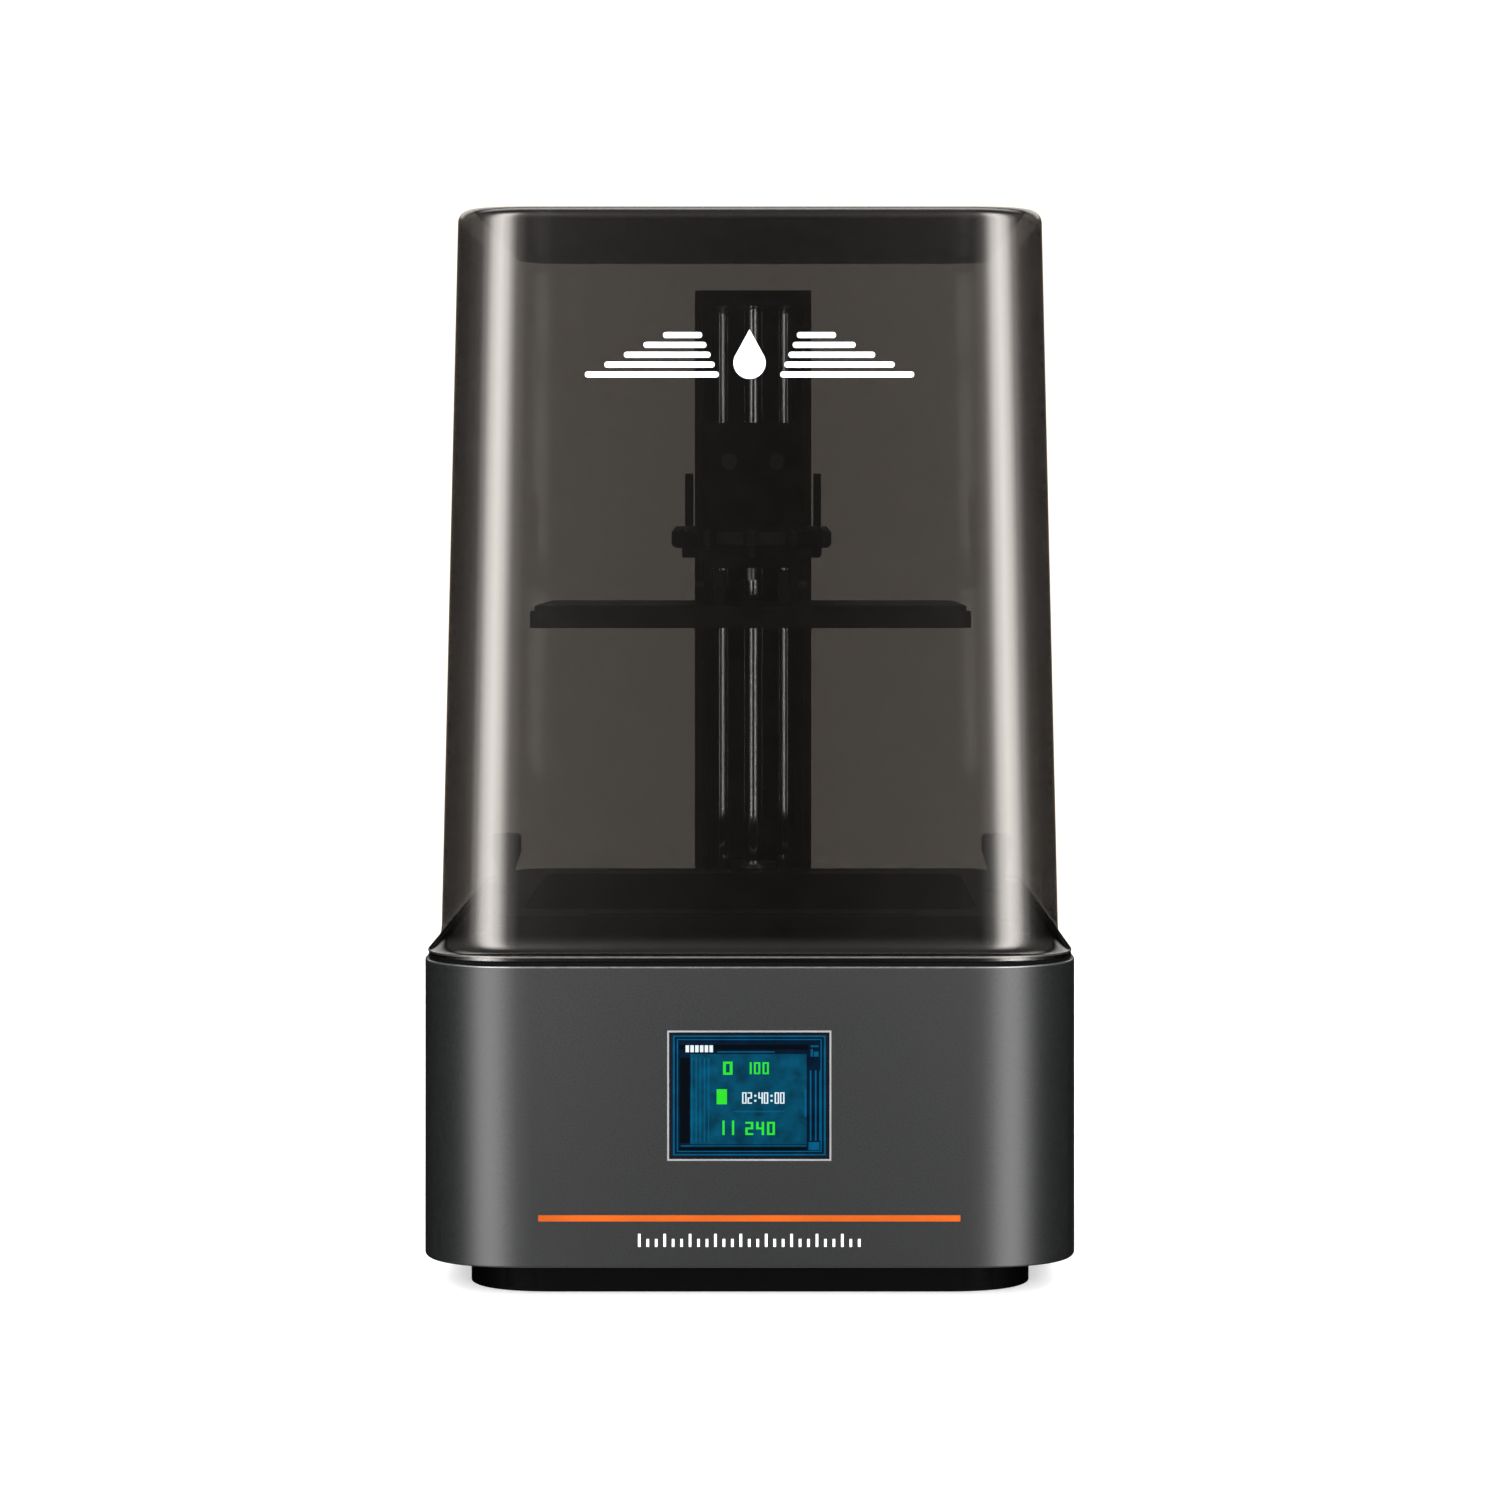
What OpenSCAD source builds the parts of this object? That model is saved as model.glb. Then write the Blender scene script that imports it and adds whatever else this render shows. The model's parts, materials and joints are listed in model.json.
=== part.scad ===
// Desktop resin printer: a smoked lift-off hood over a screw-driven build platform and resin vat,
// standing on a rounded base that holds the light engine, the electronics and the touch display.
// Millimetres. The origin is on the ground at the centre of the footprint; the front faces -Y.

/* [Body] */
// Width of the base, side to side
body_w = 235.7; // [230:0.1:245]
// Depth of the base, front to back
body_d = 238.7; // [234:0.1:246]
// Height from the ground to the top of the hood
total_h = 391.6; // [388:0.1:400]
// Plan radius of the base's corners
corner_r = 28; // [26:1:32]
// Height of the base's lower edge above the ground
base_z0 = 13; // [12:0.1:13.4]
// Height of the base's upper edge above the ground
base_z1 = 120; // [119.6:0.1:120.4]
// Wall thickness of the base and the hood
wall = 3; // [2.6:0.1:3.2]

/* [Hood] */
// Height of the flared skirt at the hood's foot
flare_h = 11; // [8:0.5:12]
// Height of the upright rim below the flare
rim_h = 2.4; // [1.5:0.1:3]
// How far the skirt flares out
flare_w = 5.6; // [4:0.1:6]
// Draft angle of the hood's walls, in degrees
draft = 1.22; // [0.8:0.01:1.3]
// Radius of the hood's top edge
top_r = 5; // [4:0.5:6]

/* [Front panel] */
// Width of the display window
display_w = 58.2; // [50:0.1:64]
// Height of the display window
display_h = 46.2; // [40:0.1:50]
// Height of the display's centre above the ground
display_z = 74.2; // [68:0.1:76]
// Length of the accent strip
strip_w = 149.8; // [120:0.1:160]
// Height of the accent strip
strip_h = 2.3; // [2:0.1:4]

/* [Platform and vat] */
// Width of the build platform
plate_w = 165.2; // [150:0.1:166]
// Depth of the build platform
plate_d = 92; // [88:0.5:95]
// Thickness of the build platform
plate_t = 8.2; // [6:0.1:8.5]
// Height of the platform's underside above the ground
plate_z = 238.3; // [238:0.1:238.6]
// Outer width of the vat
vat_w = 200; // [196:0.5:202]
// Outer depth of the vat
vat_d = 140; // [134:0.5:141]
// Height of the vat's rim above the ground
vat_z1 = 134.4; // [132:0.1:136]

/* [Z axis] */
// Width of the column
column_w = 49; // [48.8:0.1:50]
// Depth of the column
column_d = 40; // [40:0.5:41]
// Height of the column's top above the ground
column_top = 376; // [376:0.5:378]
// Diameter of the lead screw
screw_d = 8; // [8:0.1:8.2]
// Diameter of the guide rods
rod_d = 8; // [8:0.1:8.2]

/* [Hidden] */
$fn = 64;
eps = 0.01;
snug = 0.05;            // radial gap round a shaft or rod
front = -body_d / 2;
back = body_d / 2;
side = body_w / 2;

// Levels of the deck, the light path and the hood's seat
deck_t = 3;
deck_z = base_z1 - 8;             // top of the deck
ledge_h = 6;
seal_t = 1.2;
hood_z0 = base_z1 + seal_t;
lip_h = 3.4;
film_z = deck_z + 6;              // underside of the vat's film
film_t = 0.15;
lcd_w = 165;
lcd_d = 99;
bed_y = -25;                      // centre of the screen, vat and platform

// Column, rods, screw and motor
col_y0 = 58;
col_y1 = col_y0 + column_d;
cap_t = 6;
foot_t = 4;
screw_y = 74;
rod_x = 14;
rod_y = 84;
cap_z = column_top - cap_t;

// Carriage and arm
block_z0 = 263.8;
block_z1 = 320.5;
arm_z = 264.4;
arm_t = 3.6;
arm_w = 57.2;
shelf_w = 53;
ear_t = 3;
arm_seat_y = 50;                  // seat of the arm's screws
arm_head_d = 6.4;
ear_top = 299;
knob_d = 62.4;
knob_t = 8.4;
knob_z = arm_z + arm_t;
hanger_w = 36;
hanger_l = 44;
hanger_t = 4;
pivot_z = plate_z + plate_t + 7;
pivot_d = 5;
level_y = 14;                     // levelling screws, each side of the platform's centre

// Fans, boards and sockets
led_z = 44.4;                     // underside of the lamp board
led_w = 74;
led_d = 54;
fan_y = bed_y;
exhaust_x = -55;
exhaust_z = 62;
exhaust_s = 60;
board_z = 31;
usb_y = -48;
switch_y = 66;
switch_z = 56;
rocker_in = 4.7;                  // depth of the rocker's pivot behind the side wall
rocker_tilt = 10;
inlet_x = 72;
inlet_z = 40;
motor_z1 = deck_z - 13;           // top face of the motor
coupler_z = deck_z - 2.4;         // underside of the coupler

// ---------- shared shapes ----------

// Rectangle with round corners, centred
module round_rect(w, d, r) {
    square([w - 2 * r, d], center = true);
    square([w, d - 2 * r], center = true);
    for (x = [-1, 1], y = [-1, 1])
        translate([x * (w / 2 - r), y * (d / 2 - r)]) circle(r);
}

// Slab with round corners, standing on z
module slab(w, d, r, z0, z1) {
    translate([0, 0, z0]) linear_extrude(z1 - z0) round_rect(w, d, r);
}

// Box between two corners
module box(a, b) {
    translate(a) cube(b - a);
}

// Upright cylinder between two heights
module post(x, y, d, z0, z1) {
    translate([x, y, z0]) cylinder(d = d, h = z1 - z0);
}

// Frame: a slab with a slab-shaped hole
module ring_slab(w, d, r, hole_w, hole_d, hole_r, z0, z1) {
    difference() {
        slab(w, d, r, z0, z1);
        slab(hole_w, hole_d, hole_r, z0 - 1, z1 + 1);
    }
}

// Screw with a round head and a hexagon socket, head up, its seat at z = 0
module cap_screw(shank_d, shank_l, head_d, head_h) {
    difference() {
        union() {
            cylinder(d = head_d, h = head_h);
            translate([0, 0, -shank_l]) cylinder(d = shank_d, h = shank_l + eps);
        }
        translate([0, 0, head_h * 0.4]) cylinder(d = head_d * 0.5, h = head_h, $fn = 6);
    }
}

// Places its children at the bosses that hold the bottom pan
module at_pan_bosses() {
    for (x = [-1, 1], y = [-1, 1]) {
        translate([x * 95, y * 60, 0]) children();
        translate([x * 50, y * 97, 0]) children();
    }
}

// Places its children at the mainboard's four posts
module at_board_posts() {
    for (x = [50, 84], y = [-62, 22]) translate([x, y, 0]) children();
}

// Places its children at the deck's edge screws
module at_deck_screws() {
    for (x = [-1, 1], y = [-78, 0, 78]) translate([x * 108.5, y, deck_z]) children();
}

// Places its children at the column foot's four screws
module at_foot_screws() {
    for (x = [-1, 1], y = [-1, 1])
        translate([x * 28, (col_y0 + col_y1) / 2 + y * 16, deck_z + foot_t]) children();
}

// Places its children on the arm's front face at the screws that hold it to the carriage, heads to -Y
module at_arm_screws() {
    for (x = [-1, 1], z = [10, 40])
        translate([x * 10, arm_seat_y, block_z0 + z]) rotate([90, 0, 0]) children();
}

// Places its children at the front screws that hang the motor's mount from the deck
module at_mount_screws() {
    for (x = [-1, 1]) translate([x * 26, screw_y - 22, deck_z]) children();
}

// ---------- base ----------

module housing_shell() {
    inner_w = body_w - 2 * wall;
    inner_d = body_d - 2 * wall;
    slot_pitch = 7;
    color([0.24, 0.25, 0.26]) difference() {
        union() {
            ring_slab(body_w, body_d, corner_r, inner_w, inner_d, corner_r - wall, base_z0, base_z1);
            // ledge that carries the deck
            ring_slab(inner_w + 1, inner_d + 1, corner_r - wall, inner_w - 20, inner_d - 20,
                corner_r - 13, deck_z - deck_t - ledge_h, deck_z - deck_t);
            // floor flange that the bottom pan screws to
            ring_slab(inner_w + 1, inner_d + 1, corner_r - wall, 186, 188, 18, base_z0, base_z0 + 3);
            at_pan_bosses() post(0, 0, 9, base_z0, base_z0 + 13);
        }
        at_pan_bosses() post(0, 0, 2.6, base_z0 - 1, base_z0 + 11);
        at_deck_screws() post(0, 0, 2.6, -12, 1);
        // display window
        box([-display_w / 2, front - 1, display_z - display_h / 2],
            [display_w / 2, front + wall + 1, display_z + display_h / 2]);
        // groove of the accent strip
        box([-strip_w / 2, front - 1, strip_z0()], [strip_w / 2, front + 0.8, strip_z0() + strip_h]);
        // intake slots, both sides
        for (i = [0:8], x = [-1, 1]) {
            y = -26 + i * slot_pitch;
            box([x * side - 5, y, 26], [x * side + 5, y + 3, 44]);
        }
        // socket, switch, fan and inlet cut-outs
        box([side - 5, usb_y - 7, board_z + 1.3], [side + 1, usb_y + 7, board_z + 8.5]);
        box([side - 5, switch_y - 6.6, switch_z - 10], [side + 1, switch_y + 6.6, switch_z + 10]);
        box([exhaust_x - 32, back - 5, exhaust_z - 32], [exhaust_x + 32, back + 1, exhaust_z + 32]);
        translate([inlet_x, back + 1, inlet_z]) rotate([90, 0, 0]) cylinder(d = 11.2, h = 6);
    }
}

function strip_z0() = 30.7 - strip_h / 2;

module bottom_pan() {
    pan_w = 204.4;
    pan_d = 207.4;
    pan_r = 24;
    skirt_z = 1.6;
    floor_z = base_z0 - 3;
    color([0.05, 0.05, 0.05]) difference() {
        union() {
            slab(pan_w, pan_d, pan_r, floor_z, base_z0);
            ring_slab(pan_w, pan_d, pan_r, pan_w - 5, pan_d - 5, pan_r - 2.5, skirt_z, floor_z + eps);
            // posts of the mainboard
            at_board_posts() post(0, 0, 7, base_z0 - eps, board_z);
        }
        at_board_posts() post(0, 0, 2.6, board_z - 10, board_z + 1);
        at_pan_bosses() post(0, 0, 3.4, floor_z - 1, base_z0 + 1);
        // inlet slots under the lamp fan
        for (y = [fan_y - 21:7:fan_y + 21]) box([-22, y - 1.5, floor_z - 1], [22, y + 1.5, base_z0 + 1]);
    }
}

module rubber_feet() {
    foot_z1 = base_z0 - 3;
    color([0.07, 0.07, 0.07]) for (x = [-1, 1], y = [-1, 1]) translate([x * 82, y * 83, 0])
        rotate_extrude() polygon([[0, 2.4], [5, 2.4], [5, 0.6], [5.6, 0], [10, 0], [10.8, 0.8],
            [11.4, foot_z1 - 1], [11, foot_z1], [0, foot_z1]]);
}

module pan_screws() {
    color([0.55, 0.56, 0.58]) at_pan_bosses()
        translate([0, 0, base_z0 - 3]) rotate([180, 0, 0]) cap_screw(2.5, 11, 5.6, 2.2);
}

module deck_plate() {
    color([0.16, 0.165, 0.17]) difference() {
        union() {
            slab(body_w - 2 * wall - 0.6, body_d - 2 * wall - 0.6, corner_r - wall - 0.3,
                deck_z - deck_t, deck_z);
            // raised rim that lifts the screen into the vat's recess
            translate([0, bed_y, 0]) slab(lcd_w + 3, lcd_d + 3, 4, deck_z - eps, film_z - 1);
            // bosses for the vat's thumb screws
            for (x = [-1, 1]) post(x * thumb_x(), bed_y, 10, deck_z - 9, deck_z - deck_t + eps);
        }
        translate([0, bed_y, 0]) slab(lcd_w + 0.4, lcd_d + 0.4, 1.5, deck_z - 5, film_z + 1);
        for (x = [-1, 1]) post(x * thumb_x(), bed_y, 5.2, deck_z - 10, deck_z + 1);
        post(0, screw_y, 24, deck_z - 5, deck_z + 1);
        at_deck_screws() post(0, 0, 3.4, -5, 1);
        at_foot_screws() post(0, 0, 4.1, -12, 1);
        at_mount_screws() post(0, 0, 3.2, -5, 1);
    }
}

function thumb_x() = vat_w / 2 - 4.5;

module deck_screws() {
    color([0.5, 0.5, 0.52]) {
        at_deck_screws() cap_screw(2.5, 12, 5.4, 2);
        at_foot_screws() cap_screw(4, 10, 7, 3.4);
        at_mount_screws() cap_screw(3, 8, 5.2, 2);
    }
}

module cover_seal() {
    color([0.03, 0.03, 0.03])
        ring_slab(body_w - 1.6, body_d - 1.6, corner_r - 0.8, body_w - 5.6, body_d - 5.6,
            corner_r - 2.8, base_z1, base_z1 + seal_t);
}

// ---------- front panel ----------

// Upright frame in the front wall, centred on the display
module front_frame(w, h, hole_w, hole_h, y0, y1) {
    translate([0, y1, display_z]) rotate([90, 0, 0]) linear_extrude(y1 - y0) difference() {
        square([w, h], center = true);
        square([hole_w, hole_h], center = true);
    }
}

module display_bezel() {
    rim = 0.8;
    color([0.78, 0.78, 0.8])
        front_frame(display_w, display_h, display_w - 2 * rim, display_h - 2 * rim,
            front, front + wall);
}

module display_glass() {
    rim = 0.85;
    color([0.02, 0.12, 0.2])
        box([-display_w / 2 + rim, front + 0.5, display_z - display_h / 2 + rim],
            [display_w / 2 - rim, front + wall, display_z + display_h / 2 - rim]);
}

module display_module() {
    w = 70;
    h = 56;
    y0 = front + wall;
    color([0.05, 0.25, 0.12]) {
        box([-33, y0, display_z - 26], [33, y0 + 5, display_z + 26]);
        box([-w / 2, y0 + 5 - eps, display_z - h / 2], [w / 2, y0 + 6.6, display_z + h / 2]);
        box([-14, y0 + 6.6 - eps, display_z - 24], [14, y0 + 10, display_z - 18]);
    }
}

module accent_strip() {
    color([0.95, 0.38, 0.05])
        box([-strip_w / 2 + snug, front, strip_z0() + snug],
            [strip_w / 2 - snug, front + 0.8, strip_z0() + strip_h - snug]);
}

// ---------- screen and light engine ----------

module exposure_lcd() {
    color([0.02, 0.02, 0.03]) translate([0, bed_y, 0]) slab(lcd_w, lcd_d, 1.2, film_z - 3.2, film_z - 0.4);
}

module lcd_tape_frame() {
    color([0.04, 0.04, 0.04]) translate([0, bed_y, 0])
        ring_slab(lcd_w + 2.6, lcd_d + 2.6, 2.8, 155, 89, 1, film_z - 0.4, film_z - 0.15);
}

module lcd_carrier() {
    z0 = film_z - 15.2;
    color([0.1, 0.1, 0.1]) translate([0, bed_y, 0]) difference() {
        union() {
            ring_slab(lcd_w, lcd_d, 1.2, 155, 89, 1, deck_z - deck_t - eps, film_z - 3.2);
            ring_slab(lcd_w + 9, lcd_d + 9, 4, 155, 89, 1, z0, deck_z - deck_t);
        }
        slab(160.4, 94.4, 1, z0 - 1, z0 + 3);
    }
}

module collimator_lens() {
    z0 = film_z - 15.2;
    color([0.8, 0.85, 0.9, 0.5]) translate([0, bed_y, 0]) slab(160, 94, 1, z0, z0 + 3);
}

// Tapered tunnel that carries the lamp's light up to the lens
module light_hood() {
    z0 = led_z + 1.6;
    z1 = film_z - 15.2;
    h = z1 - z0;
    t = 2;
    bottom = [led_w, led_d];
    top = [166, 100];
    color([0.7, 0.7, 0.72]) translate([0, bed_y, z0]) difference() {
        frustum(bottom, top, 0, h);
        frustum(bottom - [2 * t, 2 * t], top - [2 * t, 2 * t], -eps, h + eps);
    }
}

// Four-sided frustum, centred, with a size at its foot and one at its head
module frustum(a, b, z0, z1) {
    ring = [[-1, -1], [1, -1], [1, 1], [-1, 1]];
    low = [for (p = ring) [p[0] * a[0] / 2, p[1] * a[1] / 2, z0]];
    high = [for (p = ring) [p[0] * b[0] / 2, p[1] * b[1] / 2, z1]];
    sides = [for (i = [0:3]) [i, i + 4, (i + 1) % 4 + 4, (i + 1) % 4]];
    polyhedron(concat(low, high), concat([[0, 1, 2, 3], [7, 6, 5, 4]], sides));
}

module led_board() {
    color([0.85, 0.85, 0.83]) translate([0, bed_y, 0]) slab(led_w, led_d, 2, led_z, led_z + 1.6);
}

module led_domes() {
    color([0.9, 0.9, 0.6]) for (i = [-2.5:1:2.5], j = [-1.5:1:1.5])
        translate([i * 11, bed_y + j * 11.5, led_z + 1.6]) {
            cylinder(d = 5, h = 1.5);
            difference() {
                translate([0, 0, 1.5 - eps]) sphere(d = 5);
                translate([0, 0, -5 + 1.4]) cube([12, 12, 10], center = true);
            }
        }
}

module heatsink() {
    fins = 13;
    fin_t = 1.6;
    color([0.75, 0.76, 0.78]) translate([-led_w / 2, bed_y - led_d / 2, 0]) {
        translate([0, 0, led_z - 5]) cube([led_w, led_d, 5]);
        for (i = [0:fins - 1])
            translate([i * (led_w - fin_t) / (fins - 1), 0, led_z - 19]) cube([fin_t, led_d, 14 + eps]);
    }
}

// Square fan frame standing on z = 0, with four screw holes and a spoked hub that bears the rotor
module fan_frame(s, t, hole_d) {
    difference() {
        union() {
            difference() {
                linear_extrude(t) round_rect(s, s, 3);
                translate([0, 0, -1]) cylinder(d = hole_d, h = t + 2);
                for (x = [-1, 1], y = [-1, 1])
                    translate([x * (s / 2 - 4), y * (s / 2 - 4), -1]) cylinder(d = 3.4, h = t + 2);
            }
            cylinder(d = s * 0.36, h = 2);
            for (a = [45:90:315]) rotate(a) translate([0, -1.5, 0]) cube([hole_d / 2 + 1, 3, 2]);
        }
        translate([0, 0, -1]) cylinder(d = 3 + 2 * snug, h = 4);
    }
}

// Fan rotor: a hub with slanted blades and a stub shaft below
module fan_rotor(hub_d, tip_d, h) {
    cylinder(d = hub_d, h = h);
    translate([0, 0, -2.2]) cylinder(d = 3, h = 2.2 + eps);
    blade_l = (tip_d - hub_d) / 2 + 1;
    for (i = [0:6]) rotate(i * 360 / 7) translate([hub_d / 2 - 1, 0, h / 2]) rotate([32, 0, 0])
        translate([0, -0.6, -h * 0.5]) cube([blade_l, 1.2, h * 0.95]);
}

module led_fan_frame() {
    color([0.08, 0.08, 0.08]) translate([0, fan_y, led_z - 29]) fan_frame(50, 10, 47);
}

module led_fan_rotor() {
    color([0.06, 0.06, 0.06]) translate([0, fan_y, led_z - 26.6]) fan_rotor(20, 45, 6.6);
}

// Turns a fan that is drawn lying down so that it blows out through the back wall
module at_exhaust() {
    translate([exhaust_x, back - wall, exhaust_z]) rotate([90, 0, 0]) children();
}

module exhaust_fan_frame() {
    color([0.08, 0.08, 0.08]) at_exhaust() translate([0, 0, 15]) mirror([0, 0, 1])
        fan_frame(exhaust_s, 15, 57);
}

module exhaust_fan_rotor() {
    color([0.06, 0.06, 0.06]) at_exhaust() translate([0, 0, 12.4]) mirror([0, 0, 1])
        fan_rotor(24, 55, 11.2);
}

module exhaust_grille() {
    s = 63.6;
    color([0.1, 0.1, 0.1]) translate([exhaust_x, back - 0.6, exhaust_z]) rotate([90, 0, 0]) difference() {
        linear_extrude(wall - 0.6) round_rect(s, s, 2);
        for (i = [-4:4]) {
            half = sqrt(27 * 27 - pow(i * 6, 2));
            translate([-half, i * 6 - 1.9, -1]) cube([2 * half, 3.8, wall + 2]);
        }
    }
}

// ---------- electronics ----------

module mainboard() {
    color([0.05, 0.3, 0.16]) difference() {
        box([44, -68, board_z], [104, 28, board_z + 1.6]);
        at_board_posts() post(0, 0, 3.2, board_z - 1, board_z + 3);
    }
}

module board_parts() {
    z = board_z + 1.6;
    color([0.12, 0.12, 0.13]) {
        for (y = [-40, -22]) box([56, y, z], [70, y + 14, z + 1.6]);
        box([78, -30, z], [88, -20, z + 1.2]);
        for (i = [0:3]) box([48, -6 + i * 7, z], [55, -1 + i * 7, z + 7]);
        for (i = [0:2]) post(66 + i * 11, 8, 8, z, z + 11);
        // driver with its finned cooler
        box([76, -14, z], [90, 0, z + 1.4]);
        for (i = [0:4]) box([76 + i * 3.2, -14, z + 1.4 - eps], [77.2 + i * 3.2, 0, z + 7]);
        box([62, -62, z], [76, -56, z + 8]);
    }
}

module usb_port() {
    z = board_z + 1.6;
    tongue = 1.8;
    color([0.78, 0.79, 0.8]) difference() {
        box([side - 19, usb_y - 6.7, z], [side - 0.4, usb_y + 6.7, z + 6.6]);
        box([side - 17, usb_y - 6.2, z + 0.5], [side + 1, usb_y + 6.2, z + 6.1]);
    }
    color([0.9, 0.9, 0.92])
        box([side - 17 - eps, usb_y - 5.6, z + 3.6], [side - 3, usb_y + 5.6, z + 3.6 + tongue]);
}

module power_inlet() {
    color([0.06, 0.06, 0.06]) translate([inlet_x, back, inlet_z]) rotate([90, 0, 0]) difference() {
        union() {
            translate([0, 0, 0.4]) cylinder(d = 11, h = 16);
            translate([0, 0, wall]) cylinder(d = 16, h = 3, $fn = 6);
        }
        cylinder(d = 6.4, h = 13);
    }
    color([0.8, 0.8, 0.82]) translate([inlet_x, back - 13.2, inlet_z]) rotate([-90, 0, 0])
        cylinder(d = 2.1, h = 10.5);
}

module switch_frame() {
    color([0.05, 0.05, 0.05]) translate([side, switch_y, switch_z]) difference() {
        box([-15, -6.4, -9.8], [0, 6.4, 9.8]);
        box([-9, -4.4, -7.6], [1, 4.4, 7.6]);
        translate([-rocker_in, 5.9, 0]) rotate([90, 0, 0]) cylinder(d = 2 + 2 * snug, h = 11.8);
    }
}

// Rocker with dished face and two stub pins
module power_rocker() {
    color([0.03, 0.03, 0.03]) translate([side - rocker_in, switch_y, switch_z])
        rotate([0, -rocker_tilt, 0]) rotate([90, 0, 0]) {
            translate([0, 0, -4]) linear_extrude(8) polygon([[-1.4, -3], [0, -6.4], [1.6, -6.6],
                [3.2, -6.4], [2.2, 0], [3.2, 6.4], [1.6, 6.6], [0, 6.4], [-1.4, 3]]);
            translate([0, 0, -5.7]) cylinder(d = 2, h = 11.4);
        }
}

// ---------- Z axis ----------

module z_motor() {
    s = 42.3;
    z1 = motor_z1;
    z0 = z1 - 34;
    color([0.14, 0.14, 0.15]) translate([0, screw_y, 0]) difference() {
        union() {
            intersection() {
                translate([-s / 2, -s / 2, z0]) cube([s, s, z1 - z0]);
                post(0, 0, 53, z0 - 1, z1 + 1);
            }
            post(0, 0, 22, z1 - eps, z1 + 2);
        }
        post(0, 0, 5 + 2 * snug, z0 + 3, z1 + 3);
        for (x = [-1, 1], y = [-1, 1]) post(x * 15.5, y * 15.5, 3, z1 - 5, z1 + 1);
    }
}

// Plate under the deck; its rear pillars take the column foot's rear screws
module motor_mount() {
    z0 = motor_z1;
    z1 = motor_z1 + 3;
    rear_y = (col_y0 + col_y1) / 2 + 16;
    color([0.6, 0.6, 0.62]) difference() {
        union() {
            translate([0, screw_y, 0]) slab(66, 54, 3, z0, z1);
            at_mount_screws() post(0, 0, 8, z1 - deck_z - eps, -deck_t);
            for (x = [-1, 1]) post(x * 28, rear_y, 9, z1 - eps, deck_z - deck_t);
        }
        post(0, screw_y, 22.4, z0 - 1, z1 + 1);
        at_mount_screws() post(0, 0, 3.1, z0 - deck_z - 1, 0);
        for (x = [-1, 1]) post(x * 28, rear_y, 4.1, z0 - 1, deck_z);
        for (x = [-1, 1], y = [-1, 1]) post(x * 15.5, screw_y + y * 15.5, 3.4, z0 - 1, z1 + 1);
    }
}

// Route of the motor's lead, from the motor's rear connector down to the mainboard
CABLE = [[21.15, 74, 72], [26, 74, 72], [32, 73, 71], [37, 70, 66], [40, 64, 60], [42, 56, 55],
    [44, 46, 52], [46, 36, 51.5], [48, 28, 51], [50, 22, 49.5], [51.5, 18.5, 46.5], [51.5, 17.5, 43],
    [51.5, 17.5, 39.6]];

function unit(v) = v / norm(v);
function cable_dir(i) = unit(CABLE[min(i + 1, len(CABLE) - 1)] - CABLE[max(i - 1, 0)]);
function cable_side(i) = unit(cross(cable_dir(i), [0, 0, 1]) + [0.001, 0, 0]);
function cable_ring(i, r, n) = [for (k = [0:n - 1])
    CABLE[i] + r * (cos(k * 360 / n) * cable_side(i)
        + sin(k * 360 / n) * cross(cable_dir(i), cable_side(i)))];

module motor_cable() {
    n = 8;
    last = len(CABLE) - 1;
    points = [for (i = [0:last]) each cable_ring(i, 2, n)];
    tube = [for (i = [0:last - 1], k = [0:n - 1], corner = [0, 1])
        corner == 0 ? [i * n + k, (i + 1) * n + k, (i + 1) * n + (k + 1) % n]
            : [i * n + k, (i + 1) * n + (k + 1) % n, i * n + (k + 1) % n]];
    color([0.1, 0.1, 0.1])
        polyhedron(points, concat([[for (k = [0:n - 1]) k]], tube,
            [[for (k = [n - 1:-1:0]) last * n + k]]));
}

module z_column() {
    t = 3;
    mid = (col_y0 + col_y1) / 2;
    z0 = deck_z + foot_t;
    color([0.06, 0.06, 0.065]) difference() {
        union() {
            box([-column_w / 2, col_y0, z0 - eps], [column_w / 2, col_y1, cap_z]);
            translate([0, mid, 0]) slab(66, 42, 3, deck_z, z0);
        }
        box([-column_w / 2 + t, col_y0 - 1, z0], [column_w / 2 - t, col_y1 - t, cap_z + 1]);
        post(0, screw_y, 21, deck_z - 1, z0 + 1);
        for (x = [-1, 1]) post(x * rod_x, rod_y, rod_d + 2 * snug, deck_z - 1, z0 + 1);
        at_foot_screws() post(0, 0, 4.3, -foot_t - 1, 1);
        // slots for the cap's screws and a cable pass at the back
        for (x = [-1, 1]) post(x * 14, col_y1 - 1.5, 2, cap_z - 8, cap_z + 1);
        box([-6, col_y1 - t - 1, z0 + 1], [6, col_y1 + 1, z0 + 11]);
    }
}

module column_cap() {
    mid = (col_y0 + col_y1) / 2;
    color([0.05, 0.05, 0.055]) difference() {
        translate([0, mid, 0]) slab(column_w, column_d, 1.6, cap_z, column_top);
        post(0, screw_y, 16 + 2 * snug, cap_z - 1, column_top - 1);
        for (x = [-1, 1]) {
            post(x * rod_x, rod_y, rod_d + 2 * snug, cap_z - 1, cap_z + 3);
            post(x * 14, col_y1 - 3, 2.4, cap_z - 1, column_top + 1);
        }
    }
}

module guide_rods() {
    color([0.8, 0.81, 0.83]) for (x = [-1, 1]) post(x * rod_x, rod_y, rod_d, deck_z + 0.2, cap_z + 2.8);
}

module top_bearing() {
    color([0.75, 0.76, 0.78]) difference() {
        post(0, screw_y, 16, cap_z, cap_z + 5);
        post(0, screw_y, screw_d + 2 * snug, cap_z - 1, cap_z + 6);
        for (z = [cap_z, cap_z + 4.6]) difference() {
            post(0, screw_y, 14, z - eps, z + 0.4 + eps);
            post(0, screw_y, 10.4, z - 1, z + 1);
        }
    }
}

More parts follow.
